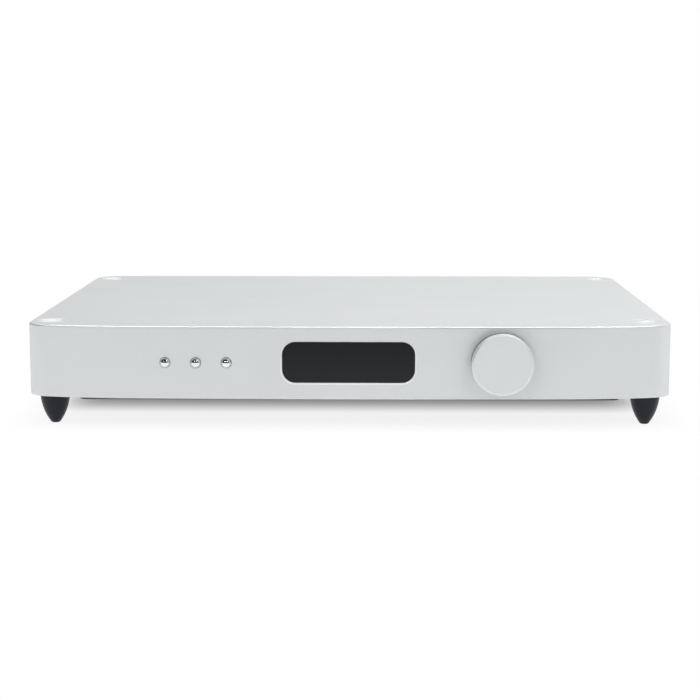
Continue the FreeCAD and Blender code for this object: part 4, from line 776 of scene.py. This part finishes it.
def rounded_plate(centre, width, height, corner, y0, y1, steps=16):
    """A block along Y with round corners, as a mesh of its own."""
    work = bmesh.new()
    upright = Matrix.Translation((centre.x, y0, centre.z)) @ Matrix.Rotation(math.pi / 2, 4, "X")
    bmesh.ops.create_grid(work, x_segments=1, y_segments=1, size=0.5, matrix=upright)
    for vert in work.verts:
        vert.co.x = centre.x + (vert.co.x - centre.x) * width
        vert.co.z = centre.z + (vert.co.z - centre.z) * height
    bevelled(work, work.verts[:], corner, steps, affect="VERTICES", clamp_overlap=False)
    raise_face(work, (0, y1 - y0, 0))
    return work


def merge_into(work, other):
    """Adds one mesh in the making to another."""
    mesh = finished_mesh("part", other)
    work.from_mesh(mesh)
    bpy.data.meshes.remove(mesh)


def carved(body, tools):
    """The body less the tools, by an exact boolean whose result is a new mesh."""
    made = [in_scene("carving", finished_mesh("carving", work)) for work in (body, tools)]
    cut = made[0].modifiers.new("cut", "BOOLEAN")
    cut.operation = "DIFFERENCE"
    cut.solver = "EXACT"
    cut.use_self = True
    cut.object = made[1]
    result = bmesh.new()
    result.from_object(made[0], bpy.context.evaluated_depsgraph_get())
    for thing in made:
        mesh = thing.data
        bpy.data.objects.remove(thing)
        bpy.data.meshes.remove(mesh)
    bmesh.ops.remove_doubles(result, verts=result.verts, dist=SAME_CORNER)
    return result


def bow_front(x):
    """Y of the bowed front at x."""
    radius = sizes().bow_radius
    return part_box("case_shell")[0].y + radius - math.sqrt(radius ** 2 - x ** 2)


def flared_plate(centre, width, height, corner, bevel, depth):
    """A rounded plate that follows the bow and opens forwards, to cut a bevel round an opening."""
    more = 3 * bevel
    less = 0.1 * bevel
    front, back = -2 * depth, 1.1 * depth
    work = rounded_plate(centre, width + 2 * more, height + 2 * more, corner + more, front, back)
    for vert in work.verts:
        if vert.co.y > 0:
            hub = Vector((
                centre.x + math.copysign(width / 2 - corner, vert.co.x - centre.x), vert.co.y,
                centre.z + math.copysign(height / 2 - corner, vert.co.z - centre.z),
            ))
            vert.co = hub + (vert.co - hub) * (corner - less) / (corner + more)
        vert.co.y += bow_front(vert.co.x)
    return work


def front_holes(tools):
    """Cutters for the window, the buttons and the knob's bush."""
    values = sizes()
    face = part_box("case_shell")[0].y
    outside = face - values.wall
    inside = face + values.front_wall + values.wall
    lens = node_centre("display_lens")
    opening = (lens, values.window_width, values.window_height, values.window_corner)
    merge_into(tools, rounded_plate(*opening, outside, inside))
    merge_into(tools, flared_plate(*opening, values.window_bevel, values.window_depth))
    flange = node_size("display_lens")
    flange_corner = 0.004
    pocket_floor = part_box("display_lens")[1].y - 0.0025
    merge_into(tools, rounded_plate(
        lens, flange.x + 2 * values.window_gap, flange.z + 2 * values.window_gap, flange_corner,
        pocket_floor, inside,
    ))
    for side in BUTTONS:
        centre = node_centre("button_" + side)
        bore = values.button_radius + values.bore_gap
        add_rod(tools, (centre.x, outside, centre.z), (centre.x, inside, centre.z), bore)
    knob = node_centre("knob")
    seat = bow_front(knob.x) + values.nut_depth
    add_rod(tools, (knob.x, outside, knob.z), (knob.x, inside, knob.z), values.bush_bore)
    add_rod(tools, (knob.x, outside, knob.z), (knob.x, seat, knob.z), values.nut_recess)


def case_hollow(tools):
    """Cutters for the inside: a wide bay, a bay at each side, and the rear opening."""
    values = sizes()
    low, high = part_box("case_shell")
    below = low.z - values.wall
    ceiling = high.z - values.top_wall
    block = high.x - values.block_width
    front = low.y + values.front_wall
    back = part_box("rear_panel")[0].y
    beyond = high.y + values.wall
    half = high.x - values.rear_inset
    side = high.x - values.wall
    add_box(tools, (-block, front, below), (block, beyond, ceiling))
    add_box(tools, (-half, back, below), (half, beyond, ceiling))
    for x0, x1 in ((-side, -block), (block, side)):
        lows = (x0, front + values.block_front, below)
        add_box(tools, lows, (x1, high.y - values.block_rear, ceiling))


def case_lugs(work):
    """Small blocks inside the walls that the base plate's middle screws go into."""
    values = sizes()
    low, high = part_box("case_shell")
    lug = values.lug
    side = high.x - values.wall
    front = low.y + values.front_wall
    bottom = low.z + 0.0005
    side_lug_height = 0.012
    front_lug_x = 0.062
    front_lug_reach = 0.016
    for sign in (-1, 1):
        inner, outer = sorted((sign * (side - lug), sign * (side + values.wall / 2)))
        add_box(work, (inner, -lug / 2, bottom), (outer, lug / 2, low.z + side_lug_height))
        x = sign * front_lug_x
        lows = (x - lug / 2, front - values.wall / 2, bottom)
        add_box(work, lows, (x + lug / 2, front + front_lug_reach, low.z + values.wall))


class CONVERTER_OT_case(bpy.types.Operator):
    """Mill the one-piece shell from its bowed outline"""

    bl_idname = "converter.case"
    bl_label = "Case shell"

    def execute(self, context):
        values = sizes()
        low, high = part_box("case_shell")
        work = case_outline()
        raise_face(work, (0, 0, high.z - low.z))
        bevel_where(work, lambda co: co.z > high.z - 1e-6, values.top_edge, 7)
        bevel_where(work, lambda co: co.z < low.z + 1e-6, values.bottom_edge, 2)
        tools = bmesh.new()
        case_hollow(tools)
        front_holes(tools)
        cup_radius = island_half("stacking_cups") + values.cup_gap
        cup_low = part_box("stacking_cups")[0].z
        for x, y in corner_centres("stacking_cups"):
            add_rod(tools, (x, y, cup_low), (x, y, high.z + values.wall), cup_radius, ROUND_STEPS)
        work = carved(work, tools)
        lens = node_centre("display_lens")
        reach = values.window_width / 2 + values.window_bevel
        # The bevel round the window takes the second material, its painted highlight.
        for face in work.faces:
            middle = face.calc_center_median() - lens
            if -0.95 < face.normal.y < -0.8 and abs(middle.x) < reach and abs(middle.z) < reach:
                face.material_index = 1
        for side in BUTTONS:
            centre = node_centre("button_" + side)
            bore = values.button_radius + values.bore_gap + 1e-5
            deepest = bow_front(centre.x - bore) + 1e-4
            bevel_where(
                work, lambda co: math.hypot(co.x - centre.x, co.z - centre.z) < bore and co.y < deepest,
                values.sheet_edge, 2,
            )
        for x, y in corner_centres("stacking_cups"):
            reach = cup_radius + 1e-5
            bevel_where(
                work, lambda co: math.hypot(co.x - x, co.y - y) < reach and co.z > high.z - 1e-5,
                values.sheet_edge, 2,
            )
        case_lugs(work)
        piece = place_piece("shell", work, "case_shell")
        # Second material: the window bevel's painted highlight.
        piece.data.materials.append(finish_of("bright_bevel"))
        soft_normals(piece, math.radians(25))
        return {"FINISHED"}


class CONVERTER_OT_feet(bpy.types.Operator):
    """Turn the four bullet feet"""

    bl_idname = "converter.feet"
    bl_label = "Feet"

    def execute(self, context):
        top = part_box("feet")[1].z
        radius = island_half("feet")
        curve = sizes().foot_curve
        edge = sizes().foot_edge
        work = bmesh.new()
        for x, y in corner_centres("feet"):
            centre = Vector((x, y, 0))
            start = -math.asin(top / curve)
            side = arc_points((radius - curve, top), curve, start, 0.0, 40)
            tip_radius = side[0][0]
            tip = arc_points((tip_radius - edge, edge), edge, -math.pi / 2, start, 6)
            upper = arc_points((radius - edge, top - edge), edge, 0.0, math.pi / 2, 4)
            lower_side = [point for point in side if edge < point[1] < top - edge]
            profile = [(0.0, 0.0)] + tip + lower_side + upper + [(0.0, top)]
            turned(profile, centre, (0, 0, 1), ROUND_STEPS, work)
        piece = place_piece("bullet_feet", work, "feet")
        soft_normals(piece)
        return {"FINISHED"}


class CONVERTER_OT_cups(bpy.types.Operator):
    """Turn the four dished stacking cups"""

    bl_idname = "converter.cups"
    bl_label = "Stacking cups"

    def execute(self, context):
        low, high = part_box("stacking_cups")
        radius = island_half("stacking_cups")
        values = sizes()
        rim = radius - values.cup_rim
        across = rim - values.cup_floor
        curve = (across ** 2 + values.cup_depth ** 2) / (2 * values.cup_depth)
        sweep = math.asin(across / curve)
        floor_z = high.z - values.cup_depth
        lip = values.hard_edge
        work = bmesh.new()
        for x, y in corner_centres("stacking_cups"):
            hub = (values.cup_floor, floor_z + curve)
            dish = arc_points(hub, curve, -math.pi / 2 + sweep, -math.pi / 2, 20)
            outer = arc_points((radius - lip, high.z - lip), lip, 0.0, math.pi / 2, 4)
            inner = [(rim + lip, high.z), (rim + lip / 3, high.z - lip / 6)]
            profile = [(0.0, low.z), (radius, low.z)] + outer + inner + dish + [(0.0, floor_z)]
            turned(profile, (x, y, 0), (0, 0, 1), ROUND_STEPS, work)
        piece = place_piece("dished_cups", work, "stacking_cups", "cup_satin")
        soft_normals(piece)
        return {"FINISHED"}


class CONVERTER_OT_knob(bpy.types.Operator):
    """Turn the hollow knob"""

    bl_idname = "converter.knob"
    bl_label = "Knob"

    def execute(self, context):
        low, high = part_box("knob")
        centre = node_centre("knob")
        axis_point = (centre.x, 0, centre.z)
        radius = (high.x - low.x) / 2
        values = sizes()
        bevel = values.knob_bevel
        small = values.hard_edge
        inside = low.y + values.knob_face
        shaft = node_size("knob_shaft").x / 2 + 0.02 * MILLIMETRE
        profile = [
            (0.0, low.y),
            (radius - bevel - small, low.y),
            (radius - bevel - small * 0.3, low.y + small * 0.1),
            (radius - small * 0.1, low.y + bevel - small * 0.3 + small * 0.6),
            (radius, low.y + bevel + small),
            (radius, high.y - small),
            (radius - small * 0.3, high.y - small * 0.3),
            (radius - small, high.y),
            (radius - values.knob_wall, high.y),
            (radius - values.knob_wall, inside),
            (values.knob_hub, inside),
            (values.knob_hub, high.y),
            (shaft, high.y),
            (shaft, inside),
            (0.0, inside),
        ]
        work = turned(profile, axis_point, (0, 1, 0), 180)
        # Its finish paints shade in a band round the skirt behind the bevel.
        piece = place_piece("turned_knob", work, "knob", "knob_side")
        soft_normals(piece, math.radians(24))
        return {"FINISHED"}


class CONVERTER_OT_buttons(bpy.types.Operator):
    """Turn the three chrome domes with their flanges and stems"""

    bl_idname = "converter.buttons"
    bl_label = "Push buttons"

    def execute(self, context):
        values = sizes()
        radius = values.button_radius
        rise = values.dome_height
        dome = (radius ** 2 + rise ** 2) / (2 * rise)
        sweep = math.asin(min(1.0, radius / dome))
        for side in BUTTONS:
            node = "button_" + side
            low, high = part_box(node)
            centre = node_centre(node)
            flange = (high.x - low.x) / 2
            wall_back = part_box("lens_frame")[0].y
            crown = arc_points((0.0, low.y + dome), dome, -math.pi / 2, -math.pi / 2 + sweep, 24)
            profile = crown + [
                (radius, wall_back),
                (flange, wall_back),
                (flange, wall_back + values.button_flange),
                (values.button_stem, wall_back + values.button_flange),
                (values.button_stem, high.y),
                (0.0, high.y),
            ]
            work = turned(profile, (centre.x, 0, centre.z), (0, 1, 0), ROUND_STEPS)
            piece = place_piece("dome_" + side, work, node)
            soft_normals(piece)
        return {"FINISHED"}


def islands(node):
    """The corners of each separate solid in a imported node, as lists of places."""
    work = bmesh.new()
    work.from_mesh(frame["nodes"][node].data)
    bmesh.ops.remove_doubles(work, verts=work.verts, dist=SAME_PLACE)
    left = set(work.verts)
    found = []
    while left:
        waiting = [left.pop()]
        group = []
        while waiting:
            vert = waiting.pop()
            group.append(vert.co.copy())
            for edge in vert.link_edges:
                other = edge.other_vert(vert)
                if other in left:
                    left.remove(other)
                    waiting.append(other)
        found.append(group)
    work.free()
    return found


def screw_measures(places):
    """Tip, axis, length, head radius, head height and shank radius of one screw."""
    low = Vector([min(place[k] for place in places) for k in range(3)])
    high = Vector([max(place[k] for place in places) for k in range(3)])
    middle = (low + high) / 2
    size = high - low
    along = 2 if abs(size.x - size.y) < abs(size.x - size.z) else 1
    axis = Vector((0, 0, 0))
    axis[along] = 1.0
    length = size[along]
    radius = size.x / 2
    head = []
    for place in places:
        off = place - middle
        if (off - axis * off[along]).length > 0.98 * radius:
            head.append(place)
    if sum(place[along] for place in head) / len(head) < middle[along]:
        axis = -axis
    tip = middle - axis * length / 2
    far = [place for place in places if (place - tip).dot(axis) < 0.1 * length]
    shank = max((place - tip - axis * (place - tip).dot(axis)).length for place in far)
    head_height = length - min((place - tip).dot(axis) for place in head)
    return tip, axis, length, radius, head_height, shank


def add_screw(work, tip, axis, length, radius, head_height, shank):
    """A screw with a rounded head and a six-sided socket."""
    edge = 0.12 * head_height
    under = length - head_height
    rim = 0.68 * radius
    fall = 0.30 * head_height
    socket_depth = 0.62 * head_height
    profile = [
        (0.0, 0.0), (0.7 * shank, 0.0), (shank, 0.3 * shank), (shank, under), (radius - edge, under),
        (radius, under + edge), (radius, length - fall), (0.97 * radius, length - 0.65 * fall),
        (0.88 * radius, length - 0.22 * fall), (rim, length),
    ]
    part = revolved(profile, tip, axis, 36)
    top_edges = [line for line in part.edges if line.is_boundary]
    turn = axis.to_track_quat("Z", "Y")
    place = Matrix.LocRotScale(tip + axis * length, turn, None)
    socket = bmesh.ops.create_circle(part, cap_ends=False, segments=6, radius=0.5 * radius, matrix=place)
    hexagon = {line for vert in socket["verts"] for line in vert.link_edges}
    bmesh.ops.bridge_loops(part, edges=top_edges + list(hexagon))
    walls = bmesh.ops.extrude_edge_only(part, edges=list(hexagon))
    lowered = [item for item in walls["geom"] if isinstance(item, bmesh.types.BMVert)]
    bmesh.ops.translate(part, verts=lowered, vec=-axis * socket_depth)
    floor_edges = [item for item in walls["geom"] if isinstance(item, bmesh.types.BMEdge)]
    bmesh.ops.contextual_create(part, geom=[line for line in floor_edges if line.is_boundary])
    bmesh.ops.recalc_face_normals(part, faces=part.faces)
    merge_into(work, part)


class CONVERTER_OT_screws(bpy.types.Operator):
    """Turn the screws and press their six-sided sockets"""

    bl_idname = "converter.screws"
    bl_label = "Screws"

    def execute(self, context):
        for node in ("case_screws", "small_screws"):
            work = bmesh.new()
            for places in islands(node):
                add_screw(work, *screw_measures(places))
            piece = place_piece(node + "_turned", work, node)
            soft_normals(piece, math.radians(28))
        return {"FINISHED"}


DRESSED_NODES = {
    "base_plate": "sheet_edge",
    "rear_panel": "sheet_edge",
    "display_lens": "hard_edge",
    "inlet_body": "hard_edge",
    "inlet_pins": "hard_edge",
    "fuse_drawer": "hard_edge",
    "rocker_housing": "hard_edge",
    "rocker": "hard_edge",
    "xlr_output_shells": "hard_edge",
    "xlr_output_pins": "hard_edge",
    "xlr_input_shell": "hard_edge",
    "xlr_latch": "hard_edge",
    "phono_jacks": "hard_edge",
    "phono_insulators": "sheet_edge",
    "optical_housing": "hard_edge",
    "optical_shutter": "sheet_edge",
    "usb_socket": "hard_edge",
}


OTHER_FINISHES = {"xlr_output_shells": "nickel"}


class CONVERTER_OT_outer_parts(bpy.types.Operator):
    """Break the edges of the window, panel, plate and sockets"""

    bl_idname = "converter.outer_parts"
    bl_label = "Window, panel and sockets"

    def execute(self, context):
        for node, edge in DRESSED_NODES.items():
            dressed_copy(node, getattr(sizes(), edge), OTHER_FINISHES.get(node))
        return {"FINISHED"}


class CONVERTER_OT_inner_parts(bpy.types.Operator):
    """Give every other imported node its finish"""

    bl_idname = "converter.inner_parts"
    bl_label = "Inner parts"

    def execute(self, context):
        for node, packed in frame["nodes"].items():
            for place in packed.material_slots:
                place.link = "OBJECT"
                place.material = finish_of(slot_of(node))
        return {"FINISHED"}


def add_lamp(name, place, target, width, height, power):
    """A plain oblong lamp at a place, with its face towards a target."""
    data = bpy.data.lights.new(name, "AREA")
    data.shape = "RECTANGLE"
    data.size = width
    data.size_y = height
    data.energy = power
    lamp = in_scene(name, data)
    lamp.location = place
    lamp.rotation_euler = (Vector(target) - Vector(place)).to_track_quat("-Z", "Y").to_euler()


def add_camera():
    values = studio()
    data = bpy.data.cameras.new("camera")
    data.lens = values.camera_lens
    data.sensor_width = 36.0
    camera = in_scene("camera", data)
    camera.location = values.camera_place
    camera.rotation_euler = (math.pi / 2 - values.camera_pitch, 0.0, values.camera_yaw)
    bpy.context.scene.camera = camera


def eased(tree, value, start, end, low, high):
    """A smooth step from low to high while a value goes from start to end."""
    node = add_node(tree, "ShaderNodeMapRange", From_Min=start, From_Max=end, To_Min=low, To_Max=high)
    node.interpolation_type = "SMOOTHSTEP"
    tree.links.new(value, node.inputs["Value"])
    return node.outputs["Result"]


def seen_directly(tree):
    """One for rays that show the background: the camera's own, and those off metal or through glass."""
    path = tree.nodes.new("ShaderNodeLightPath")
    mirrored = worked(tree, "MAXIMUM", path.outputs["Is Glossy Ray"], path.outputs["Is Transmission Ray"])
    return worked(tree, "MAXIMUM", path.outputs["Is Camera Ray"], mirrored)


def add_floor():
    """A pale floor that keeps the unit's shadow, runs out to plain white and is clear from below."""
    values = studio()
    side, rear = CAD_BOUNDS[1][0], CAD_BOUNDS[1][1]
    work = bmesh.new()
    bmesh.ops.create_circle(work, cap_ends=True, segments=ROUND_STEPS, radius=14.0)
    mesh = finished_mesh("floor", work)
    floor = in_scene("floor", mesh)
    finish = Finish("studio_floor", colours().floor, roughness=0.9)
    finish.tint(finish.noise(3.0, 2.0), 0.995, 1.005)
    tree = finish.tree
    apart = tree.nodes.new("ShaderNodeSeparateXYZ")
    off = worked(tree, "ABSOLUTE", finish.place, kind="ShaderNodeVectorMath", output="Vector")
    tree.links.new(off, apart.inputs["Vector"])
    dark = worked(
        tree, "MULTIPLY",
        eased(tree, apart.outputs["X"], values.shadow_width, values.shadow_side, values.shadow_dark, 0.0),
        eased(tree, apart.outputs["Y"], values.shadow_depth, values.shadow_fade, 1.0, 0.0),
    )
    light = worked(
        tree, "MULTIPLY",
        eased(tree, apart.outputs["X"], side, side * 1.15, values.shadow_light, 0.0),
        eased(tree, apart.outputs["Y"], rear * 0.7, rear * 1.05, 1.0, 0.0),
    )
    plain = worked(tree, "SUBTRACT", 1.0, worked(tree, "MAXIMUM", dark, light))
    seen = worked(tree, "MULTIPLY", seen_directly(tree), plain)
    white = add_node(tree, "ShaderNodeEmission", Color=(1.0, 1.0, 1.0, 1.0), Strength=1.0)
    mix = tree.nodes.new("ShaderNodeMixShader")
    tree.links.new(seen, mix.inputs["Fac"])
    tree.links.new(finish.shader.outputs["BSDF"], mix.inputs[1])
    tree.links.new(white.outputs["Emission"], mix.inputs[2])
    sided = tree.nodes.new("ShaderNodeMixShader")
    clear = tree.nodes.new("ShaderNodeBsdfTransparent")
    tree.links.new(tree.nodes.new("ShaderNodeNewGeometry").outputs["Backfacing"], sided.inputs["Fac"])
    tree.links.new(mix.outputs["Shader"], sided.inputs[1])
    tree.links.new(clear.outputs["BSDF"], sided.inputs[2])
    tree.links.new(sided.outputs["Shader"], tree.nodes["Material Output"].inputs["Surface"])
    mesh.materials.append(finish.material)


def set_world():
    """A white backdrop all round; only reflections find the dark room in front of the unit."""
    values = studio()
    world = bpy.data.worlds.new("studio")
    bpy.context.scene.world = world
    world.use_nodes = True
    tree = world.node_tree
    light = tree.nodes["Background"]
    place = tree.nodes.new("ShaderNodeTexCoord").outputs["Generated"]
    bright_side = (0.60, 0.68, 0.42)
    towards = worked(tree, "DOT_PRODUCT", place, bright_side, kind="ShaderNodeVectorMath")
    path = tree.nodes.new("ShaderNodeLightPath")
    behind = eased(tree, towards, 0.1, 1.15, 0.0, 1.0)
    direct = worked(tree, "MAXIMUM", path.outputs["Is Camera Ray"], path.outputs["Is Diffuse Ray"])
    white = worked(tree, "MAXIMUM", behind, direct)
    room = tree.nodes.new("ShaderNodeMix")
    room.data_type = "RGBA"
    room.inputs["A"].default_value = (values.dark_room, values.dark_room * 1.1, values.dark_room * 1.5, 1.0)
    room.inputs["B"].default_value = (1.0, 1.0, 1.0, 1.0)
    tree.links.new(white, room.inputs["Factor"])
    tree.links.new(room.outputs["Result"], light.inputs["Color"])
    level = add_node(tree, "ShaderNodeMapRange", To_Min=values.sky, To_Max=1.0)
    tree.links.new(seen_directly(tree), level.inputs["Value"])
    tree.links.new(level.outputs["Result"], light.inputs["Strength"])


LAMPS = (
    ("top", (0.0, 0.14, 1.5), 2.4, 0.12),
    ("key", (1.2, -1.7, 1.6), 0.25, 0.25),
    ("fill", (-1.0, -1.9, 1.5), 0.25, 0.25),
)


class CONVERTER_OT_stage(bpy.types.Operator):
    """Set the floor, lamps, world and camera"""

    bl_idname = "converter.stage"
    bl_label = "Studio"

    def execute(self, context):
        values = studio()
        middle = (0.0, 0.0, 0.05)
        for name, place, width, height in LAMPS:
            add_lamp(name, place, middle, width, height, getattr(values, name + "_power"))
        add_floor()
        set_world()
        add_camera()
        context.scene.view_settings.view_transform = "Standard"
        return {"FINISHED"}


STEPS = ("inner_parts", "case", "feet", "cups", "knob", "buttons", "screws", "outer_parts", "stage")


class CONVERTER_PT_panel(bpy.types.Panel):
    """Lists the steps that dress the converter"""

    bl_idname = "CONVERTER_PT_panel"
    bl_label = "Converter"
    bl_space_type = "VIEW_3D"
    bl_region_type = "UI"
    bl_category = "Converter"

    def draw(self, context):
        for step in STEPS:
            self.layout.operator("converter." + step)


CLASSES = (
    ConverterSizes,
    ConverterColours,
    ConverterStudio,
    CONVERTER_OT_inner_parts,
    CONVERTER_OT_case,
    CONVERTER_OT_feet,
    CONVERTER_OT_cups,
    CONVERTER_OT_knob,
    CONVERTER_OT_buttons,
    CONVERTER_OT_screws,
    CONVERTER_OT_outer_parts,
    CONVERTER_OT_stage,
    CONVERTER_PT_panel,
)


def register():
    for cls in CLASSES:
        bpy.utils.register_class(cls)
    bpy.types.Scene.converter_sizes = bpy.props.PointerProperty(type=ConverterSizes)
    bpy.types.Scene.converter_colours = bpy.props.PointerProperty(type=ConverterColours)
    bpy.types.Scene.converter_studio = bpy.props.PointerProperty(type=ConverterStudio)


def unregister():
    del bpy.types.Scene.converter_studio
    del bpy.types.Scene.converter_colours
    del bpy.types.Scene.converter_sizes
    for cls in reversed(CLASSES):
        bpy.utils.unregister_class(cls)


def main():
    register()
    for step in STEPS:
        getattr(bpy.ops.converter, step)()


if __name__ == "__main__":
    main()
